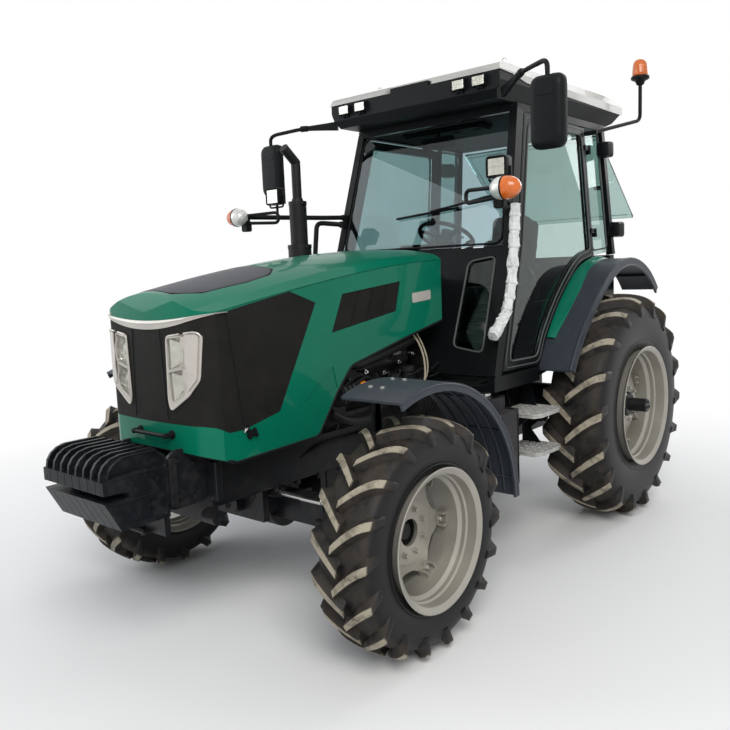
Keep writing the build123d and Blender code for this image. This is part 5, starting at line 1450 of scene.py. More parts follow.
ARC = [over_tyre(a, c) for a, c in ((155.8, 0.129), (144, 0.119), (132.4, 0.112), (122, 0.126), (113.1, 0.1505),
    (105, 0.185), (97.4, 0.227), (84.2, 0.271))]
DOOR = ARC + [(1.296, 2.69), (0.448, 2.69), (0.238, 1.9), (-0.062, 1.14)]
for side, name in SIDES:
    beads = []
    for inset, out in ((0.016, -0.001), (0.052, 0.001)):
        loop = rounded_line([(p.x, p.y) for p in shrunk(DOOR, inset)], 0.05, 4, closed=True)
        path = [side_at(side, p.x, p.y, out) for p in loop]
        beads.append(hoop(path, 0.0038 if inset < 0.03 else 0.0055, 8))
    piece(f"door_seal_{name}", beads, "seal_grey", f"door_{name}", angle=60)
    handle = join(chunk((0.022, 0.13, 0.06), side_at(side, 1.2, 1.72, 0.006), bevel=0.25),
        chunk((0.018, 0.1, 0.026), side_at(side, 1.196, 1.726, 0.024), bevel=0.35),
        moved(bolt(0.01, 0.008), set_at(side_at(side, 1.246, 1.7,
        0.014)) @ Matrix.Rotation(0 if side > 0 else pi, 4, "Z")))
    piece(f"door_handle_{name}", handle, "trim_black", f"door_{name}", angle=35)
    inner = join(tube(rounded_line([side_at(side, 0.34, 1.7, -0.05), side_at(side, 0.345, 1.69, -0.095),
        side_at(side, 0.56, 1.42, -0.095), side_at(side, 0.575, 1.4, -0.05)], 0.04, 5), 0.014, 12),
        chunk((0.03, 0.1, 0.16), side_at(side, 0.25, 1.64, -0.055), bevel=0.2))
    piece(f"door_pull_{name}", inner, "trim_black", f"door_{name}", angle=35)
    quarter = [(1.352, 1.83), (1.612, 1.85), (1.588, 2.69), (1.342, 2.69)]
    loop = rounded_line([(p.x, p.y) for p in shrunk(quarter, 0.004)], 0.04, 4, closed=True)
    path = [side_at(side, p.x, p.y, -0.028) for p in loop]
    piece(f"quarter_seal_{name}", hoop(path, 0.006, 8), "seal_grey", angle=60)
print("door beads, handles and quarter seals")

# %% Low front windows
def screen_y(z):
    """Where the windscreen stands at a height."""
    return 0.15 + (z - 1.878) * 0.2711


wall_up = Vector((0, 0.314, 0.81)).normalized()
panes, beads = [], []
for side in (1, -1):
    flat = [(0.425, 0.23), (0.64, 0.2), (0.612, 0.808), (0.425, 0.778)]

    def on_wall(u, v, out=0.0):
        return Vector((side * u, -0.164, 1.062)) + wall_up * v + out * Vector((0, -wall_up.z, wall_up.y))

    pane = [(p.x, p.y) for p in shrunk(flat, -0.003)]
    panes.append(plate(pane, [], 0.005, lambda u, v, depth: on_wall(u, v, depth - 0.016)))
    loop = rounded_line(flat, 0.04, 4, closed=True)
    path = [on_wall(p.x, p.y, 0.002) for p in loop]
    beads.append(hoop(path, 0.006, 8))
piece("low_front_panes", panes, "cab_glass", angle=10)
piece("low_front_seals", beads, "seal_grey", angle=60)
screen = [(0.64, 1.893), (0.592, 2.684), (-0.592, 2.684), (-0.64, 1.893)]
loop = rounded_line(screen, 0.06, 4, closed=True)
path = [Vector((p.x, screen_y(p.y) - 0.003, p.y)) for p in loop]
piece("windscreen_seal", hoop(path, 0.0065, 8), "trim_black", angle=60)
print("low panes and their seals")

# %% [markdown]
# One wiper parks across the foot of the windscreen. Its arm is a thin tube
# from a motor boss, and the blade is a slim rail with a rubber lip.

# %% Wiper and rear pillar lamps
def on_screen(x, z, out):
    return Vector((x, screen_y(z) - out, z + 0.27 * out))


arm = tube([on_screen(0.56, 2.18, 0.03), on_screen(0.4, 2.15, 0.04), on_screen(0.1, 2.115, 0.03)], 0.007, 8)
blade = tube([on_screen(0.3, 2.128, 0.016), on_screen(-0.19, 2.09, 0.016)], 0.008, 6)
lip = tube([on_screen(0.3, 2.128, 0.006), on_screen(-0.19, 2.09, 0.006)], 0.003, 4)
boss = tube([on_screen(0.562, 2.18, 0.0), on_screen(0.562, 2.18, 0.036)], 0.022, 20)
piece("wiper", [arm, blade, lip, boss], "trim_black")
for side, name in SIDES:
    for level, y, z in (("high", 1.545, 2.56), ("low", 1.64, 1.985)):
        x = side * (cab_half(z) + 0.036)
        rings = []
        for out, wide, high in (
            (-0.048, 0.06, 0.07), (-0.04, 0.092, 0.1), (0.01, 0.104, 0.112), (0.034, 0.104, 0.112),
            (0.04, 0.098, 0.106),
        ):
            rings.append([Vector((x + p.x, y + out, z + p.y)) for p in round_box(wide, high, 0.022, 4)])
        stay = tube([(x, y - 0.01, z - 0.01), (x - side * 0.05, y + 0.05, z + 0.02),
            (x - side * 0.07, y + 0.09, z + 0.02)], 0.01, 10)
        lug = chunk((0.016, 0.03, 0.05), (x, y - 0.05, z + 0.03), bevel=0.25)
        piece(f"rear_lamp_{level}_{name}", [lofted(rings), stay, lug], "trim_black", angle=32)
        lens = [[Vector((x + p.x, y + out, z + p.y)) for p in round_box(0.084 * s, 0.092 * s, 0.016, 4)]
                for out, s in ((0.039, 1.0), (0.045, 0.95))]
        finish = "clear_lens" if level == "high" else "amber_lens"
        piece(f"rear_lamp_lens_{level}_{name}", lofted(lens), finish, angle=30)
print("wiper and four rear lamps")

# %% [markdown]
# Suitcase weights hang side by side on a bar in front of the nose. Each is a
# casting with a thin fin along its crest, where it is gripped, and a heavier
# body below, notched in the middle. Eight like castings are eight copies of
# one side outline, each with a small gap to the next.

# %% Front weights
BAR_FACE = -2.052
CREST = ((-0.318, 0.948), (-0.312, 0.985), (-0.293, 1.013), (-0.262, 1.034), (-0.218, 1.044), (-0.06, 1.044),
         (-0.004, 1.003), (-0.004, 0.9), (-0.3, 0.9))
BODY = ((-0.318, 0.948), (-0.318, 0.891), (-0.198, 0.885), (-0.198, 0.86), (-0.317, 0.857), (-0.247, 0.724),
        (-0.004, 0.724), (-0.004, 0.968), (-0.255, 0.962), (-0.296, 0.952))


def side_slab(outline, low_x, high_x, shift=0.0):
    """A side outline of (y, z) given a width, about a y shift."""
    return plate([(y + shift, z) for y, z in outline], [], high_x - low_x,
        lambda u, v, depth: Vector((low_x + depth, u, v)))


castings = []
for k in range(8):
    x = (k - 3.5) * 0.062
    castings += [side_slab(BODY, x - 0.0295, x + 0.0295, BAR_FACE),
        side_slab(CREST, x - 0.0075, x + 0.0075, BAR_FACE), side_slab([(-0.316, 0.892), (-0.316, 0.946),
        (-0.3, 0.946), (-0.3, 0.892)], x - 0.0075, x + 0.0075, BAR_FACE - 0.0015)]
for side in (1, -1):
    x = side * 0.2465
    cheek = [(-0.3, 0.95), (-0.28, 1.004), (-0.222, 1.034), (-0.066, 1.034), (-0.012, 0.998), (-0.012, 0.952)]
    path = [(x, BAR_FACE + p.x, p.y) for p in rounded_line(cheek, 0.02, 4, closed=True)]
    castings.append(hoop(path, 0.0055, 8))
    low = [(-0.296, 0.846), (-0.24, 0.74), (-0.02, 0.74), (-0.02, 0.846)]
    path = [(x, BAR_FACE + p.x, p.y) for p in rounded_line(low, 0.02, 4, closed=True)]
    castings += [hoop(path, 0.0045, 8), side_bolt(side, (side * 0.2455, BAR_FACE - 0.06, 0.905), 0.013, 0.012),
        chunk((0.008, 0.03, 0.044), (side * 0.247, BAR_FACE - 0.085, 0.8), bevel=0.2)]
made = piece("suitcase_weights", castings, "weight_iron", angle=26)
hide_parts("front_weights")
print("eight weights,", len(made.data.polygons), "faces")

# %% [markdown]
# Behind the weights is the frame's nose: two cheeks with rounded tops that
# carry the weight bar, a towing jaw with its pin, and a row of bolt heads
# where the casting meets the rails.

# %% Frame nose and rails
cheeks = []
for side in (1, -1):
    outline = rounded_line([(-2.052, 0.735), (-2.052, 0.96), (-1.99, 1.01), (-1.86, 0.985), (-1.8, 0.86),
        (-1.83, 0.735)], 0.05, 5, closed=True)
    cheeks.append(side_slab([tuple(p) for p in outline], side * 0.208 - 0.009, side * 0.208 + 0.009))
    for y, z in ((-1.985, 0.95), (-1.9, 0.93), (-1.985, 0.79), (-1.9, 0.77)):
        cheeks.append(side_bolt(side, (side * 0.216, y, z), 0.012, 0.014))
    for k in range(7):
        cheeks += [side_bolt(side, (side * 0.2495, -1.74 + 0.155 * k, 0.925), 0.011, 0.012),
            side_bolt(side, (side * 0.2495, -1.74 + 0.155 * k, 0.69), 0.011, 0.012)]
    post = [(p.x, p.y) for p in round_box(0.072, 0.04, 0.01)]
    rings = [[Vector((side * 0.272 + a * 0.6, -1.815 + b, z)) for a, b in post]
        for z in (0.74, 0.76, 0.9, 0.922)]
    cheeks += [lofted(rings), tube([(side * 0.205, -1.83, 0.66), (side * 0.29, -1.83, 0.66)], 0.036, 24),
        tube([(side * 0.285, -1.83, 0.66), (side * 0.298, -1.83, 0.66)], 0.016, 12)]
cheeks += [
    chunk((0.36, 0.03, 0.16), (0, -2.03, 0.69), bevel=0.1),
    tube([(0, -2.04, 0.585), (0, -2.04, 0.775)], 0.014, 16),
]
for z in (0.615, 0.74):
    cheeks.append(chunk((0.12, 0.1, 0.02), (0, -2.03, z), bevel=0.3))
piece("frame_nose", cheeks, "black_iron", angle=30)
print("frame nose with its bolts")

# %% [markdown]
# The front axle's own details: ribs on the beam, a bevel case at each end,
# grease caps, the bright ram of the steering cylinder and the two hoses that
# feed it. The hoses are crimped to fittings at both ends and clipped on the
# way, so they are fixed pipes and move with the tractor.

# %% Axle details
FRONT_AXLE_Y, FRONT_AXLE_Z = -1.25, 0.55
for side, name in SIDES:
    case = turn_round([(-0.125, 0.0001), (-0.125, 0.08), (-0.105, 0.112), (-0.06, 0.124), (-0.02, 0.118),
        (0.0, 0.096), (0.006, 0.0001)], 40)
    parts = [moved(case, set_at((0.818, 0, 0)))]
    for k in range(10):
        parts.append(moved(moved(bolt(0.008, 0.01), set_at((0.795, 0, 0))), about_x(2 * pi * k / 10, 0.108)))
    piece(f"bevel_case_{name}", on_side(side, join(*parts), (0, FRONT_AXLE_Y, FRONT_AXLE_Z)), "black_iron",
        f"knuckle_{name}", angle=30)
    caps = [tube([(side * 0.7, -1.25, z) for z in (0.69, 0.702, 0.71)], [0.046, 0.046, 0.03], 28)]
    for k in range(4):
        a = pi / 4 + k * pi / 2
        spot = set_at((side * 0.7 + 0.034 * cos(a), -1.25 + 0.034 * sin(a), 0.7),
            Matrix.Rotation(-pi / 2, 3, "Y"))
        caps.append(moved(bolt(0.006, 0.01), spot))
    piece(f"kingpin_cap_{name}", caps, "black_iron", f"knuckle_{name}", angle=30)
rod_low, rod_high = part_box("steering_rod")
ram_y, ram_z = (rod_low.y + rod_high.y) / 2, (rod_low.z + rod_high.z) / 2
ram = [tube([(s * 0.54, ram_y, ram_z), (s * 0.4, ram_y, ram_z)], 0.0172, 20) for s in (1, -1)]
piece("steering_ram", ram, "bright_steel", "steering_rod")
pipes = []
for s in (1, -1):
    pipes += [tube(rounded_line([(s * 0.2, ram_y, ram_z + 0.028), (s * 0.2, ram_y, ram_z + 0.075),
        (s * 0.235, -1.3, 0.8), (s * 0.268, -1.1, 0.86), (s * 0.268, -0.7, 0.86)], 0.05, 6), 0.0085, 10),
        tube([(s * 0.2, ram_y, ram_z + 0.026), (s * 0.2, ram_y, ram_z + 0.05)], 0.013, 8)]
piece("steering_pipes", pipes, "trim_black", angle=40)
beam = []
for s in (1, -1):
    for k in range(3):
        beam.append(chunk((0.014, 0.15, 0.016), (s * (0.24 + 0.13 * k), -1.25, 0.628), bevel=0.2))
    beam += [chunk((0.1, 0.05, 0.085), (s * 0.475, -1.325, 0.5), bevel=0.12),
        chunk((0.16, 0.035, 0.115), (s * 0.4, -1.318, 0.56), bevel=0.08)]
piece("axle_ribs", beam, "black_iron", angle=30)
print("axle details done")

# %% [markdown]
# Between the bonnet and the wing one sees into the engine bay: filters, a
# pump, the alternator, brackets, pipes and the wiring. None of it is the
# point of the model, but an empty dark gap would look wrong, so the bay is
# filled with simple turned and bent shapes at their real sizes. The pipes and
# the looms are clipped down at both ends and do not hang free.

# %% Helpers: turned parts along any direction
def canister(foot, head, profile, sides=28):
    """A turned part from foot to head; profile is (share of the length, radius)."""
    foot, head = Vector(foot), Vector(head)
    return tube([foot + (head - foot) * max(0.0, min(1.0, t)) for t, _ in profile], [r for _, r in profile],
        sides)


def ribbed(foot, head, radius, ribs):
    """A turned part with rings along it, such as a motor or a filter."""
    core = radius - 0.006
    profile = [(0.0, 0.3 * radius), (0.001, core)]
    for k in range(ribs):
        a = (k + 0.3) / (ribs + 0.2)
        b = (k + 0.75) / (ribs + 0.2)
        profile += [(a - 0.001, core), (a, radius), (b, radius), (b + 0.001, core)]
    return canister(foot, head, profile + [(0.999, core), (1.0, 0.3 * radius)])


# %% Engine bay
for side, name in SIDES:
    parts = [chunk((0.06, 0.66, 0.09), (side * 0.225, -0.64, 1.255), bevel=0.15),
        chunk((0.05, 0.6, 0.07), (side * 0.222, -0.64, 1.12), bevel=0.15),
        chunk((0.09, 0.2, 0.15), (side * 0.245, -0.38, 1.06), bevel=0.12),
        chunk((0.07, 0.12, 0.24), (side * 0.235, -0.96, 1.08), bevel=0.12),
        chunk((0.04, 0.9, 0.03), (side * 0.262, -0.7, 0.985), bevel=0.2),
        chunk((0.1, 0.05, 0.16), (side * 0.25, -0.2, 1.18), bevel=0.12),
        canister((side * 0.29, -0.5, 0.985), (side * 0.29, -0.5, 1.16),
        [(0, 0.03), (0.05, 0.046), (0.85, 0.046), (0.9, 0.038), (1, 0.038)]),
        canister((side * 0.29, -0.38, 1.0), (side * 0.29, -0.38, 1.19),
        [(0, 0.028), (0.05, 0.042), (0.8, 0.042), (0.85, 0.05), (1, 0.05)]),
        ribbed((side * 0.3, -1.02, 1.11), (side * 0.3, -0.86, 1.11), 0.068, 4),
        ribbed((side * 0.27, -0.3, 0.93), (side * 0.27, -0.08, 0.93), 0.05, 5),
        canister((side * 0.3, -0.86, 1.11), (side * 0.3, -0.835, 1.11), [(0, 0.04), (1, 0.04)]),
        tube(rounded_line([(side * 0.25, -0.96, 1.3), (side * 0.3, -0.86, 1.25), (side * 0.3, -0.56, 1.3),
        (side * 0.3, -0.33, 1.35)], 0.08, 7), 0.034, 18), tube(rounded_line([(side * 0.31, -1.06, 1.02),
        (side * 0.34, -0.98, 0.96), (side * 0.33, -0.76, 0.94), (side * 0.28, -0.62, 1.0)], 0.07, 7), 0.022,
        14)]
    for k in range(6):
        parts += [side_bolt(side, (side * 0.254, -0.92 + 0.11 * k, 1.255), 0.01, 0.012),
            tube(rounded_line([(side * 0.245, -0.9 + 0.11 * k, 1.15), (side * 0.3, -0.88 + 0.11 * k, 1.19),
            (side * 0.285, -0.8 + 0.08 * k, 1.08), (side * 0.25, -0.74 + 0.06 * k, 1.01)], 0.04, 5), 0.0055, 8)]
    piece(f"engine_side_{name}", parts, "engine_paint", angle=32)
    hoses = []
    random.seed(11)
    for k in range(9):
        y = -1.04 + 0.105 * k
        a = Vector((side * 0.33, y, 1.05 + 0.16 * random.random()))
        b = a + Vector((side * 0.03, 0.1 + 0.08 * random.random(), 0.1 * random.random()))
        c = b + Vector((-side * 0.03, 0.12, -0.12 * random.random()))
        d = Vector((side * 0.25, c.y + 0.05, 0.98 + 0.2 * random.random()))
        hoses.append(tube(rounded_line([a - Vector((side * 0.08, 0, 0)), a, b, c, d], 0.045, 5), 0.0075, 8))
    piece(f"wiring_looms_{name}", hoses, "trim_black", angle=50)
    bright = []
    for y, z in ((-0.985, 1.235), (-0.9, 1.175), (-0.77, 1.205), (-0.69, 1.09), (-0.61, 1.18), (-0.47, 1.225),
                 (-0.42, 1.11), (-0.34, 1.26), (-0.26, 1.06), (-0.83, 1.06)):
        bright += [side_bolt(side, (side * 0.305, y, z), 0.008, 0.016),
            tube([(side * 0.24, y, z), (side * 0.306, y, z)], 0.0065, 8)]
    bright.append(chunk((0.004, 0.06, 0.085), (side * 0.318, -0.5, 1.315), bevel=0.2))
    piece(f"engine_fittings_{name}", bright, "bright_steel", angle=30)
    cream = [tube(rounded_line([(side * 0.33, -0.4, 1.42), (side * 0.372, -0.33, 1.3),
        (side * 0.385, -0.31, 1.15), (side * 0.37, -0.345, 1.02), (side * 0.3, -0.35, 0.975)], 0.08, 8), 0.006,
        8), tube(rounded_line([(side * 0.32, -0.34, 1.42), (side * 0.365, -0.285, 1.28),
        (side * 0.372, -0.265, 1.15), (side * 0.33, -0.29, 1.05)], 0.08, 8), 0.005, 8),
        tube(rounded_line([(side * 0.3, -0.76, 1.085), (side * 0.36, -0.7, 1.08), (side * 0.39, -0.56, 1.075),
        (side * 0.37, -0.44, 1.04)], 0.06, 8), 0.0055, 8)]
    piece(f"cream_pipes_{name}", cream, "hose_cream", angle=50)
cap = canister((0.33, -0.834, 1.115), (0.36, -0.842, 1.148), [(0, 0.018), (0.1, 0.03), (0.8, 0.03), (1, 0.024)],
    20)
neck = tube([(0.285, -0.82, 1.05), (0.333, -0.835, 1.118)], 0.018, 16)
piece("filler_cap", cap, "cap_orange", angle=30)
piece("filler_neck", neck, "engine_paint")
print("engine bay filled")

# %% [markdown]
# The exhaust rises from the bay on the right side. A band clamp sits at each
# joint, rows of small louvre bars ring the silencer can, and a collar closes
# the foot of the pipe above it.

# %% Exhaust details
STACK_X, STACK_Y = -0.515, -0.42
parts = []
for z in (1.548, 1.93, 2.204):
    radius = 0.0775 if z < 1.94 else 0.0585
    parts += [tube([(STACK_X, STACK_Y, z - 0.012), (STACK_X, STACK_Y, z + 0.012)], radius, 48),
        chunk((0.022, 0.03, 0.016), (STACK_X + radius + 0.006, STACK_Y - 0.01, z), bevel=0.2)]
parts.append(tube([(STACK_X, STACK_Y, 2.21), (STACK_X, STACK_Y, 2.235)], [0.04, 0.034], 32))
for z in (1.6, 1.66, 1.72, 1.78, 1.84):
    for k in range(18):
        a = 2 * pi * k / 18
        centre = Vector((STACK_X + 0.0752 * cos(a), STACK_Y + 0.0752 * sin(a), z))
        along = Vector((-sin(a), cos(a), 0))
        parts.append(tube([centre - along * 0.008, centre + along * 0.008], 0.0035, 6))
piece("exhaust_bands", parts, "exhaust_black", angle=35)
print("exhaust bands and louvres")

# %% [markdown]
# The wings over the front wheels are thin mouldings stiffened by ribs below,
# bolted to a post on the steering knuckle, so they turn with the wheel. The
# ribs are bars bent to the same circle as the wing.

# %% Front wings
def over_front(angle, clear):
    a, reach = radians(angle), FRONT_AXLE_Z + clear
    return (FRONT_AXLE_Y + reach * cos(a), FRONT_AXLE_Z + reach * sin(a))


for side, name in SIDES:
    ribs = []
    for x in (0.835, 0.905, 0.975, 1.045):
        path = [(side * x, *over_front(4 + 104 * k / 26, 0.146)) for k in range(27)]
        ribs.append(tube(path, 0.0065, 8))
    for angle in (10, 34, 58, 82, 104):
        path = [(side * x, *over_front(angle, 0.147)) for x in (0.8, 1.105)]
        ribs.append(tube(path, 0.0055, 8))
    for clear, x in ((0.157, 0.789), (0.152, 1.1215)):
        path = [(side * x, *over_front(2.5 + 108 * k / 30, clear)) for k in range(31)]
        ribs.append(tube(path, 0.0065, 8))
    piece(f"front_wing_ribs_{name}", ribs, "guard_black", f"knuckle_{name}", angle=50)
    heads = []
    for angle, x in ((88, 0.86), (88, 0.93), (101, 0.86), (101, 0.93)):
        y, z = over_front(angle, 0.1615)
        tilt = Matrix.Rotation(radians(angle - 90), 3, "X") @ Matrix.Rotation(-pi / 2, 3, "Y")
        heads.append(moved(bolt(0.01, 0.008), set_at((side * x, y, z), tilt)))
    piece(f"front_wing_bolts_{name}", heads, "bright_steel", f"knuckle_{name}", angle=30)
    arm = [chunk((0.02, 0.055, 0.6), (side * 0.776, -1.25, 0.94), bevel=0.2)]
    for k in range(3):
        arm.append(side_bolt(side, (side * 0.786, -1.25, 0.7 + 0.09 * k), 0.01, 0.012))
    piece(f"front_wing_arm_{name}", arm, "black_iron", f"knuckle_{name}", angle=30)
print("front wings ribbed and bolted")

# %% [markdown]
# The rear wing is a dark plastic flare with a rolled edge, and between it and
# the door runs a band in the body colour. Both follow the same arcs round the
# rear axle, at their own distances from the tyre.

# %% Rear wings
GUARD = ((157.4, 0.107), (145, 0.093), (132.4, 0.088), (122, 0.102), (113.1, 0.1265), (101, 0.178), (90, 0.226),
         (78.7, 0.26), (64, 0.27), (49.8, 0.257))
guard_line = smooth_line([(a, c, 0) for a, c in GUARD], 6)
for side, name in SIDES:
    roll = []
    for x, sink, size in ((0.962, 0.006, 0.0095), (0.968, 0.05, 0.0065)):
        roll.append(tube([(side * x, *over_tyre(p.x, p.y - sink)) for p in guard_line], size, 10))
    for end in (guard_line[0], guard_line[-1]):
        roll.append(tube([(side * x, *over_tyre(end.x, end.y - 0.01)) for x in (0.712, 0.965)], 0.0095, 10))
    piece(f"rear_wing_roll_{name}", roll, "guard_black", angle=60)
    band = [p for p in guard_line if 72 < p.x < 143]
    rings = []
    for p in band:
        share = (143 - p.x) / 71
        wide = 0.09 * sin(pi * min(1.0, 0.1 + 0.86 * share)) ** 0.6
        y0, z0 = over_tyre(p.x, p.y + 0.001)
        y1, z1 = over_tyre(p.x, p.y + 0.0075)
        y2, z2 = over_tyre(p.x, p.y + 0.02)
        near = cab_half(z2) + 0.004
        rings.append([Vector((side * near, y0, z0)), Vector((side * near, y2, z2)),
            Vector((side * (near + 0.3 * wide), y2, z2)), Vector((side * (near + wide), y1, z1)),
            Vector((side * (near + wide + 0.004), y0, z0))])
    piece(f"rear_wing_band_{name}", lofted(rings), "green_paint", angle=40)
    under = []
    for angle in (150, 132, 114, 96, 78, 60):
        mid_clear = min(guard_line, key=lambda p: abs(p.x - angle)).y
        under.append(tube([(side * x, *over_tyre(angle, mid_clear - 0.026)) for x in (0.72, 0.95)], 0.007, 8))
    piece(f"rear_wing_ribs_{name}", under, "guard_black", angle=60)
print("rear wings rolled and banded")

# %% [markdown]
# The steps are pressed trays with drain holes and a coat of grit, hung on
# tapered black side plates. The tank beside them has two straps, a bright
# filler cap and a smaller breather.

# %% Steps
treads, plates = [], []
for side in (1, -1):
    for top, front in ((0.872, 0.062), (0.635, 0.078)):
        rear, near, far = 0.393, 0.642, 0.918
        outline = rounded_line([(near, front), (far - 0.03, front), (far, front + 0.05), (far, rear - 0.05),
            (far - 0.03, rear), (near, rear)], 0.018, 4, closed=True)
        holes = []
        for i in range(5):
            for k in range(5):
                cx, cy = near + 0.052 + 0.046 * i, front + 0.048 + 0.058 * k
                holes.append([(cx + 0.0105 * cos(2 * pi * m / 10), cy + 0.0105 * sin(2 * pi * m / 10))
                    for m in range(10)])
        tread = plate(outline, holes, 0.006, lambda u, v, depth: Vector((side * u, v, top - 0.004 - depth)))
        treads.append(tread)
        rim = [(side * p.x, p.y, top - 0.004) for p in outline]
        treads.append(hoop(rim, 0.0038, 6))
        skirt = [[Vector((side * (near + (p.x - near) * s), (front + rear) / 2 + (p.y - (front + rear) / 2) * s,
            z)) for p in outline] for z, s in ((top - 0.007, 0.995), (top - 0.026, 0.985), (top - 0.026, 0.955),
            (top - 0.007, 0.965))]
        treads.append(lofted(skirt, close=False))
    for y in (0.075, 0.372):
        outline = rounded_line([(0.642, 1.028), (0.7, 1.028), (0.742, 0.87), (0.85, 0.846), (0.7, 0.72),
            (0.79, 0.609), (0.642, 0.605)], 0.012, 3, closed=True)
        plates.append(plate(outline, [], 0.007, lambda u, v, depth: Vector((side * u, y - depth, v))))
made = piece("step_treads", treads, "step_tread", angle=30)
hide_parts("steps")
piece("step_plates", plates, "cab_black", angle=20)
caps, straps = [], []
for side in (1, -1):
    caps += [tube([(side * 0.66, -0.11, z) for z in (0.986, 0.992, 1.012, 1.022, 1.0248)],
        [0.0395, 0.04, 0.04, 0.034, 0.01], 32), tube([(side * 0.6, -0.15, z) for z in (0.985, 1.005, 1.012)],
        [0.014, 0.014, 0.006], 16)]
    for y in (-0.185, -0.005):
        loop = rounded_line([(0.468, 0.455), (0.822, 0.455), (0.822, 0.912), (0.468, 0.912)], 0.048, 6,
            closed=True)
        path = [(side * min(p.x, 0.8195), y, p.y) for p in loop]
        straps.append(hoop(path, 0.0055, 6))
piece("tank_caps", caps, "bright_steel", angle=30)
piece("tank_straps", straps, "trim_black", angle=50)
print("steps and tank fittings")

# %% [markdown]
# The driver's seat is the one soft thing on the tractor. Each pad starts as a
# rounded block a little smaller than the real pad. A voxel remesh gives it an
# even skin, and Cloth with inner pressure swells that skin the way foam fills
# a cover. The swelling is capped, so the pad keeps to its place. The bolsters
# and the sewn channels come after it, because the remesh would erase them.

# %% Helper: a swollen pad
def swell(obj, cap, frames=20):
    """Blow a closed skin up by cloth pressure, no point further than cap."""
    scene = bpy.context.scene
    rest = [v.co.copy() for v in obj.data.vertices]
    cloth = obj.modifiers.new("swell", "CLOTH")
    cloth.settings.quality = 4
    cloth.settings.mass = 0.3
    cloth.settings.use_pressure = True
    cloth.settings.uniform_pressure_force = 4.0
    cloth.settings.effector_weights.gravity = 0.0
    cloth.collision_settings.use_collision = False
    cloth.point_cache.frame_end = frames
    for step in range(1, frames + 1):
        scene.frame_set(step)
    evaluated = obj.evaluated_get(bpy.context.evaluated_depsgraph_get())
    after = [v.co.copy() for v in evaluated.to_mesh().vertices]
    evaluated.to_mesh_clear()
    obj.modifiers.remove(cloth)
    scene.frame_set(1)
    for vertex, a, b in zip(obj.data.vertices, rest, after):
        push = b - a
        vertex.co = a + push * min(1.0, cap / max(push.length, 1e-6))


def pad(name, wide, long, thick, matrix, channels, bolster):
    """A pad about its middle: x across, y along, z out of its sitting face."""
    rings = []
    for z, size in ((-0.42, 0.9), (-0.36, 0.95), (-0.15, 0.965), (0.15, 0.965), (0.33, 0.94), (0.42, 0.88)):
        rings.append([Vector((p.x * size, p.y * size, z * thick)) for p in round_box(wide, long, 0.07, 6)])
    points, faces = lofted(rings)
    start = piece(name + "_start", (points, faces), "seat_fabric")
    remesh = start.modifiers.new("skin", "REMESH")
    remesh.mode = "VOXEL"
    remesh.voxel_size = 0.006
    graph = bpy.context.evaluated_depsgraph_get()
    skin = bpy.data.meshes.new_from_object(start.evaluated_get(graph))
    made = bpy.data.objects.new(name, skin)
    bpy.context.scene.collection.objects.link(made)
    bpy.data.objects.remove(start)
    swell(made, 0.024)
    for vertex in made.data.vertices:
        x, y, z = vertex.co
        over = max(0.0, min(1.0, z / (0.3 * thick)))
        side_part = max(0.0, min(1.0, (abs(x) - 0.27 * wide) / (0.1 * wide)))
        rise = bolster * side_part * over * (1 - max(0.0, (abs(x) - 0.42 * wide) / (0.08 * wide)) * 0.6)
        sink = sum(0.0075 * exp(-((y - c) / 0.0075) ** 2) for c in channels) * over * (1 - side_part)
        seam = 0.0065 * exp(-((abs(x) - 0.265 * wide) / 0.006) ** 2) * over
        vertex.co.z = min(z + rise - sink - seam, 0.5 * thick)
        vertex.co.z = max(vertex.co.z, -0.5 * thick)
        vertex.co.x = max(-wide / 2, min(wide / 2, x))
        vertex.co.y = max(-long / 2, min(long / 2, y))
    made.data.transform(matrix)
    made.data.materials.clear()
    made.data.materials.append(finishes["seat_fabric"])
    made.data.polygons.foreach_set("use_smooth", [True] * len(made.data.polygons))
    smooth = made.modifiers.new("smooth", "SUBSURF")
    smooth.levels = smooth.render_levels = 1
    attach(made, "tractor")
    print(name, len(made.data.polygons), "faces")
    return made


# %% Seat
cushion = pad("seat_cushion", 0.49, 0.48, 0.13, Matrix.Translation((0, 1.09, 1.535)), (-0.09, 0.03), 0.022)
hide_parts("seat")
lean = atan2(0.12, 0.57)
stand = Matrix(((1, 0, 0), (0, sin(lean), -cos(lean)), (0, cos(lean), sin(lean)))).to_4x4()
middle = Vector((0, 1.3618, 1.856))
pad("seat_back", 0.47, 0.4, 0.106, Matrix.Translation(middle - Vector((0, 0.019, 0.09))) @ stand,
    (-0.08, 0.0, 0.08), 0.02)
pad("seat_head", 0.34, 0.15, 0.09, Matrix.Translation(middle + Vector((0, 0.0415, 0.198))) @ stand, (), 0.0)
parts = []
for k in range(6):
    z = 1.25 + 0.036 * k
    rings = [[Vector((p.x * s, 1.095 + p.y * s, z + dz)) for p in round_box(0.32, 0.31, 0.04)]
             for dz, s in ((0.0, 0.9), (0.009, 1.0), (0.027, 1.0), (0.036, 0.9))]
    parts.append(lofted(rings))
parts.append(chunk((0.44, 0.43, 0.022), (0, 1.095, 1.478), bevel=0.3))
shell = [[middle + stand.to_3x3() @ Vector((p.x, p.y, z)) for p in round_box(w, h, 0.07, 6)]
         for z, w, h in ((-0.05, 0.4, 0.5), (-0.0545, 0.34, 0.44))]
parts.append(lofted(shell))
for side in (1, -1):
    arm = [[Vector((side * (0.285 + p.x), y, 1.73 + p.y)) for p in round_box(0.06 * s, 0.052 * s, 0.018)]
           for y, s in ((0.935, 0.7), (0.945, 1.0), (1.245, 1.0), (1.258, 0.7))]
    parts += [lofted(arm), chunk((0.028, 0.07, 0.18), (side * 0.26, 1.22, 1.64), bevel=0.25),
        tube([(side * 0.246, 1.3, 1.52), (side * 0.262, 1.3, 1.52)], 0.034, 20)]
piece("seat_frame", parts, "grip_black", angle=35)
print("seat built")

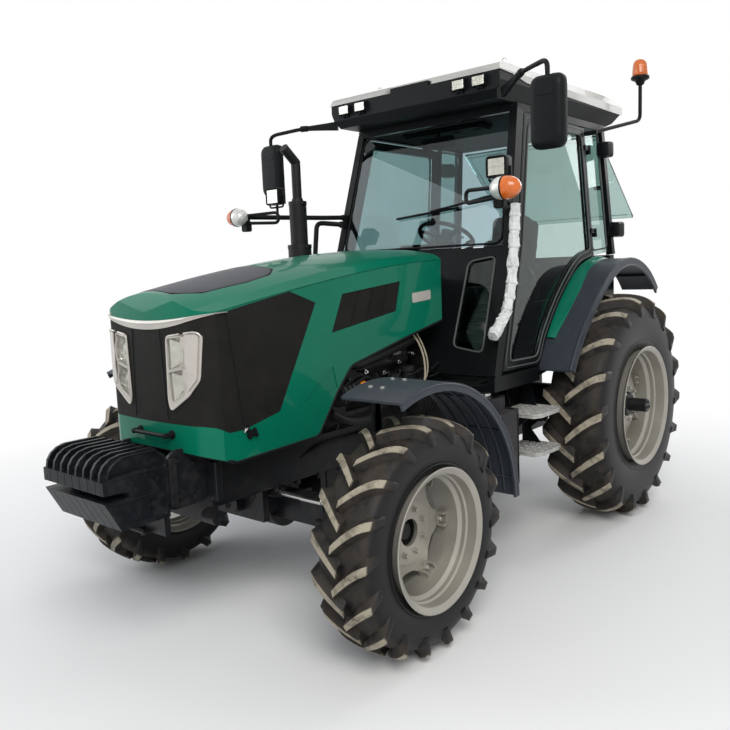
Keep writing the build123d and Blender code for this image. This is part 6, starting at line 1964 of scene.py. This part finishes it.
# %% [markdown]
# The dashboard's hood carries three round dials in front of the driver. The
# dials have plain marks and no writing. A console runs on each side of
# the seat, and its levers have knobs that are coloured by their job.

# %% Dashboard, console and pedals
hood = [[Vector((0, y, z)) + Vector((p.x, 0, p.y)) for p in round_box(w, h, 0.035, 5)]
    for y, z, w, h in ((0.165, 1.835, 0.34, 0.1), (0.2, 1.85, 0.372, 0.13), (0.3, 1.85, 0.372, 0.13),
    (0.318, 1.845, 0.35, 0.11))]
parts = [lofted(hood)]
for x, radius in ((-0.115, 0.036), (0.0, 0.048), (0.115, 0.036)):
    parts.append(tube([(x, 0.314, 1.848), (x, 0.328, 1.848)], radius, 32))
for x, z in ((-0.15, 1.76), (-0.12, 1.76), (0.12, 1.76), (0.15, 1.76), (0.15, 1.735), (-0.15, 1.735)):
    parts.append(chunk((0.02, 0.012, 0.016), (x, 0.334, z), bevel=0.25))
parts += [
    chunk((0.15, 0.56, 0.3), (-0.43, 1.08, 1.4), bevel=0.12),
    chunk((0.15, 0.42, 0.24), (0.43, 1.14, 1.37), bevel=0.12),
    chunk((0.13, 0.52, 0.03), (-0.43, 1.08, 1.556), Matrix.Rotation(0.06, 3, "X"), bevel=0.3),
]
for k, x in enumerate((-0.16, 0.08, 0.16)):
    parts += [tube([(x, 0.06, 1.32), (x, 0.0, 1.25), (x, 0.03, 1.15)], 0.011, 8),
        chunk((0.07, 0.016, 0.08), (x, 0.045, 1.13), Matrix.Rotation(-0.5, 3, "X"), bevel=0.2)]
column = canister((0, 0.38, 1.757), (0, 0.48, 1.93), [(0, 0.07), (0.5, 0.062), (0.9, 0.05), (1.0, 0.046)])
parts.append(column)
piece("dash_and_console", parts, "grip_black", angle=32)
dials, marks = [], []
for x, radius in ((-0.115, 0.031), (0.0, 0.043), (0.115, 0.031)):
    dials.append(tube([(x, 0.3275, 1.848), (x, 0.3295, 1.848)], radius, 32))
    for k in range(9):
        a = radians(-30 + 30 * k)
        near, far = 0.78 * radius, 0.94 * radius
        marks.append(tube([(x + near * cos(a), 0.33, 1.848 + near * sin(a)),
            (x + far * cos(a), 0.33, 1.848 + far * sin(a))], 0.0011, 4))
    marks.append(tube([(x, 0.3303, 1.848), (x - 0.6 * radius, 0.3303, 1.848 + 0.4 * radius)], 0.0014, 4))
piece("dial_faces", dials, "cab_black", angle=30)
piece("dial_marks", marks, "clear_lens", angle=50)
rods, knobs, reds = [], [], []
for x, y, high, lean_x, kind in ((-0.415, 0.87, 0.3, 0.05, "black"), (-0.45, 0.96, 0.22, 0.02, "black"),
                                 (-0.4, 1.06, 0.16, 0.0, "red"), (-0.44, 1.06, 0.16, 0.0, "black"),
                                 (-0.43, 1.18, 0.14, -0.01, "orange"), (0.42, 0.98, 0.2, -0.03, "black"),
                                 (0.16, 0.4, 0.0, 0.0, "stalk")):
    if kind == "stalk":
        rods.append(tube([(0.03, 0.44, 1.86), (0.15, 0.45, 1.9), (0.2, 0.455, 1.915)], 0.006, 8))
        knobs.append(canister((0.19, 0.454, 1.911), (0.235, 0.457, 1.928),
            [(0, 0.008), (0.3, 0.013), (1, 0.01)]))
        continue
    foot = Vector((x, y, 1.545))
    head = foot + Vector((lean_x, -0.05, high))
    rods.append(tube(rounded_line([foot, foot + Vector((0, 0, 0.5 * high)), head], 0.04, 4), 0.006, 10))
    knob = canister(head - Vector((0, 0, 0.012)), head + Vector((0, 0, 0.042)),
        [(0, 0.01), (0.25, 0.019), (0.6, 0.024), (0.9, 0.017), (1, 0.004)])
    (reds if kind == "red" else knobs).append(knob)
    knobs.append(canister(foot - Vector((0, 0, 0.004)), foot + Vector((0, 0, 0.05)),
        [(0, 0.032), (0.4, 0.024), (1, 0.009)]))
piece("lever_rods", rods, "bright_steel", angle=40)
piece("lever_knobs", knobs, "grip_black", angle=40)
piece("lever_knob_red", reds, "knob_red", angle=40)
mat = []
for k in range(9):
    mat.append(chunk((1.18, 0.014, 0.006), (0, -0.06 + 0.055 * k, 1.0655), bevel=0.2))
mat.append(chunk((1.24, 0.52, 0.006), (0, 0.16, 1.0645), bevel=0.2))
piece("floor_mat", mat, "grip_black", angle=30)
lining = [chunk((1.1, 1.14, 0.03), (0, 1.0, 2.712), bevel=0.3),
    chunk((0.62, 0.2, 0.06), (0, 0.54, 2.69), bevel=0.25),
    chunk((0.26, 0.03, 0.08), (0.0, 0.43, 2.59), Matrix.Rotation(0.25, 3, "X"), bevel=0.3),
    tube([(0, 0.44, 2.63), (0, 0.45, 2.7)], 0.01, 8)]
for k in range(4):
    lining.append(tube([(-0.24 + 0.16 * k, 0.54, 2.662), (-0.24 + 0.16 * k, 0.54, 2.654)], 0.026, 20))
piece("roof_lining", lining, "grip_black", angle=32)
print("dashboard, console, levers, mat and lining")

# %% [markdown]
# At the back are the hitch and its services: lamps on the back wall, a blank
# number plate, the oil couplers with their caps, the guard over the power
# take-off, the chains that steady the lower links, and the screw of the top
# link. Each moving part's details ride on that part's own body.

# %% Rear wall fittings
about = Matrix.Rotation(pi, 3, "Z")
for side, name in SIDES:
    lamp_set(f"tail_lamp_{name}", (side * 0.52, 1.712, 1.6), 0.19, 0.092, -0.016, turn=about)
    red = [[Vector((side * 0.585 + p.x * s, y, 1.6 + p.y * s)) for p in round_box(0.052, 0.072, 0.008)]
           for y, s in ((1.716, 1.0), (1.7225, 0.95))]
    piece(f"tail_lamp_red_{name}", lofted(red), "knob_red", angle=30)
parts = []
for z in (1.33, 1.39, 1.45, 1.51):
    parts.append(tube([(-0.3, 1.692, z), (0.3, 1.692, z)], 0.008, 8))
parts += [chunk((0.34, 0.045, 0.2), (0.0, 1.455, 1.075), bevel=0.12),
    chunk((0.3, 0.14, 0.012), (0.0, 1.5, 0.742), bevel=0.3),
    chunk((0.012, 0.14, 0.13), (0.145, 1.5, 0.68), bevel=0.3),
    chunk((0.012, 0.14, 0.13), (-0.145, 1.5, 0.68), bevel=0.3)]
for k in range(8):
    a = 2 * pi * k / 8
    parts.append(moved(bolt(0.011, 0.012), set_at((0.115 * cos(a), 1.4295, 0.64 + 0.115 * sin(a)),
        Matrix.Rotation(pi / 2, 3, "Z"))))
piece("rear_wall_parts", parts, "black_iron", angle=32)
blank = plate([tuple(p) for p in round_box(0.34, 0.11, 0.012)], [], 0.003,
    lambda u, v, depth: Vector((u, 1.7035 + depth, 1.7 + v)))
piece("number_plate_blank", [blank, chunk((0.1, 0.014, 0.02), (0, 1.697, 1.7))], "lamp_frame",
      angle=30)
couplers, caps = [], []
for k in range(4):
    x, z = -0.105 + 0.07 * k, 1.06
    couplers.append(canister((x, 1.475, z), (x, 1.515, z),
        [(0, 0.018), (0.6, 0.018), (0.62, 0.022), (1, 0.022)], 20))
    caps.append(canister((x, 1.513, z), (x, 1.53, z), [(0, 0.025), (0.8, 0.025), (1, 0.02)], 20))
piece("oil_couplers", couplers, "bright_steel", angle=30)
piece("coupler_caps", caps[:2], "knob_red", angle=30)
piece("coupler_caps_dark", caps[2:], "grip_black", angle=30)
print("rear wall fitted")

# %% Hitch details
low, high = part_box("lower_links")
parts = []
for side in (1, -1):
    end = Vector((side * 0.412, high.y - 0.036, low.z + 0.036))
    parts += [tube([end - Vector((0.024, 0, 0)), end + Vector((0.024, 0, 0))], 0.025, 28),
        tube([(side * 0.262, 1.4, 0.56), (side * 0.304, 1.4, 0.56)], 0.022, 16)]
piece("link_pins", parts, "bright_steel", "lower_links", angle=30)
low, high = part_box("top_link")
a, b = Vector((0, 1.495, 0.92)), Vector((0, high.y - 0.035, high.z - 0.035))
ahead = (b - a).normalized()
threads = [canister(a + ahead * 0.09, b - ahead * 0.07, [(0, 0.021), (1, 0.021)], 20)]
for k in range(9):
    spot = a + ahead * (0.1 + 0.012 * k)
    threads.append(tube([spot, spot + ahead * 0.005], 0.0235, 18))
piece("top_link_screw", threads, "bright_steel", "top_link", angle=30)
barrel = canister(a + ahead * 0.23, a + ahead * 0.45, [(0, 0.022), (0.04, 0.036), (0.96, 0.036), (1, 0.022)],
    28)
grip = tube([a + ahead * 0.34 + Vector((-0.11, 0, 0)), a + ahead * 0.34 + Vector((0.11, 0, 0))], 0.008, 12)
piece("top_link_barrel", [barrel, grip], "black_iron", "top_link", angle=30)
parts = []
for side in (1, -1):
    for k in range(7):
        t = k / 6
        spot = Vector((side * (0.13 + 0.1 * t), 1.45 + 0.16 * t, 0.5 + 0.01 * sin(pi * t)))
        turn_link = Matrix.Rotation(pi / 2 * (k % 2), 3, "Y")
        loop = [spot + turn_link @ Vector((0.01 * cos(q), 0.019 * sin(q), 0))
                for q in (2 * pi * m / 10 for m in range(11))]
        parts.append(tube(loop, 0.0038, 6))
    parts += [ribbed((side * 0.21, 1.18, 0.985), (side * 0.21, 1.33, 0.985), 0.044, 3),
        chunk((0.06, 0.1, 0.06), (side * 0.215, 1.28, 0.96), bevel=0.2)]
    for k in range(10):
        q = 2 * pi * k / 10
        parts.append(moved(bolt(0.011, 0.012), set_at((side * 0.572, 1.2 + 0.118 * cos(q),
            0.765 + 0.118 * sin(q))) @ Matrix.Rotation(0 if side > 0 else pi, 4, "Z")))
piece("casing_parts", parts, "black_iron", angle=32)
splines = []
for k in range(6):
    q = 2 * pi * k / 6
    splines.append(chunk((0.008, 0.086, 0.006), (0.018 * cos(q), 1.486, 0.64 + 0.018 * sin(q)),
        Matrix.Rotation(-q + pi / 2, 3, "Y"), bevel=0.1))
splines.append(tube([(0, 1.45, 0.64), (0, 1.4525, 0.64)], 0.0205, 28))
piece("take_off_splines", splines, "bright_steel", "pto_shaft", angle=30)
print("hitch details done")

# %% How heavy the model is
total = 0
for obj in bpy.data.objects:
    if obj.type == "MESH" and not obj.hide_render:
        mesh_size = sum(len(p.vertices) - 2 for p in obj.data.polygons)
        if any(m.type == "SUBSURF" for m in obj.modifiers):
            mesh_size *= 4
        total += mesh_size
        if mesh_size > 60000:
            print("heavy piece:", obj.name, mesh_size)
print("triangles in all, about", total)
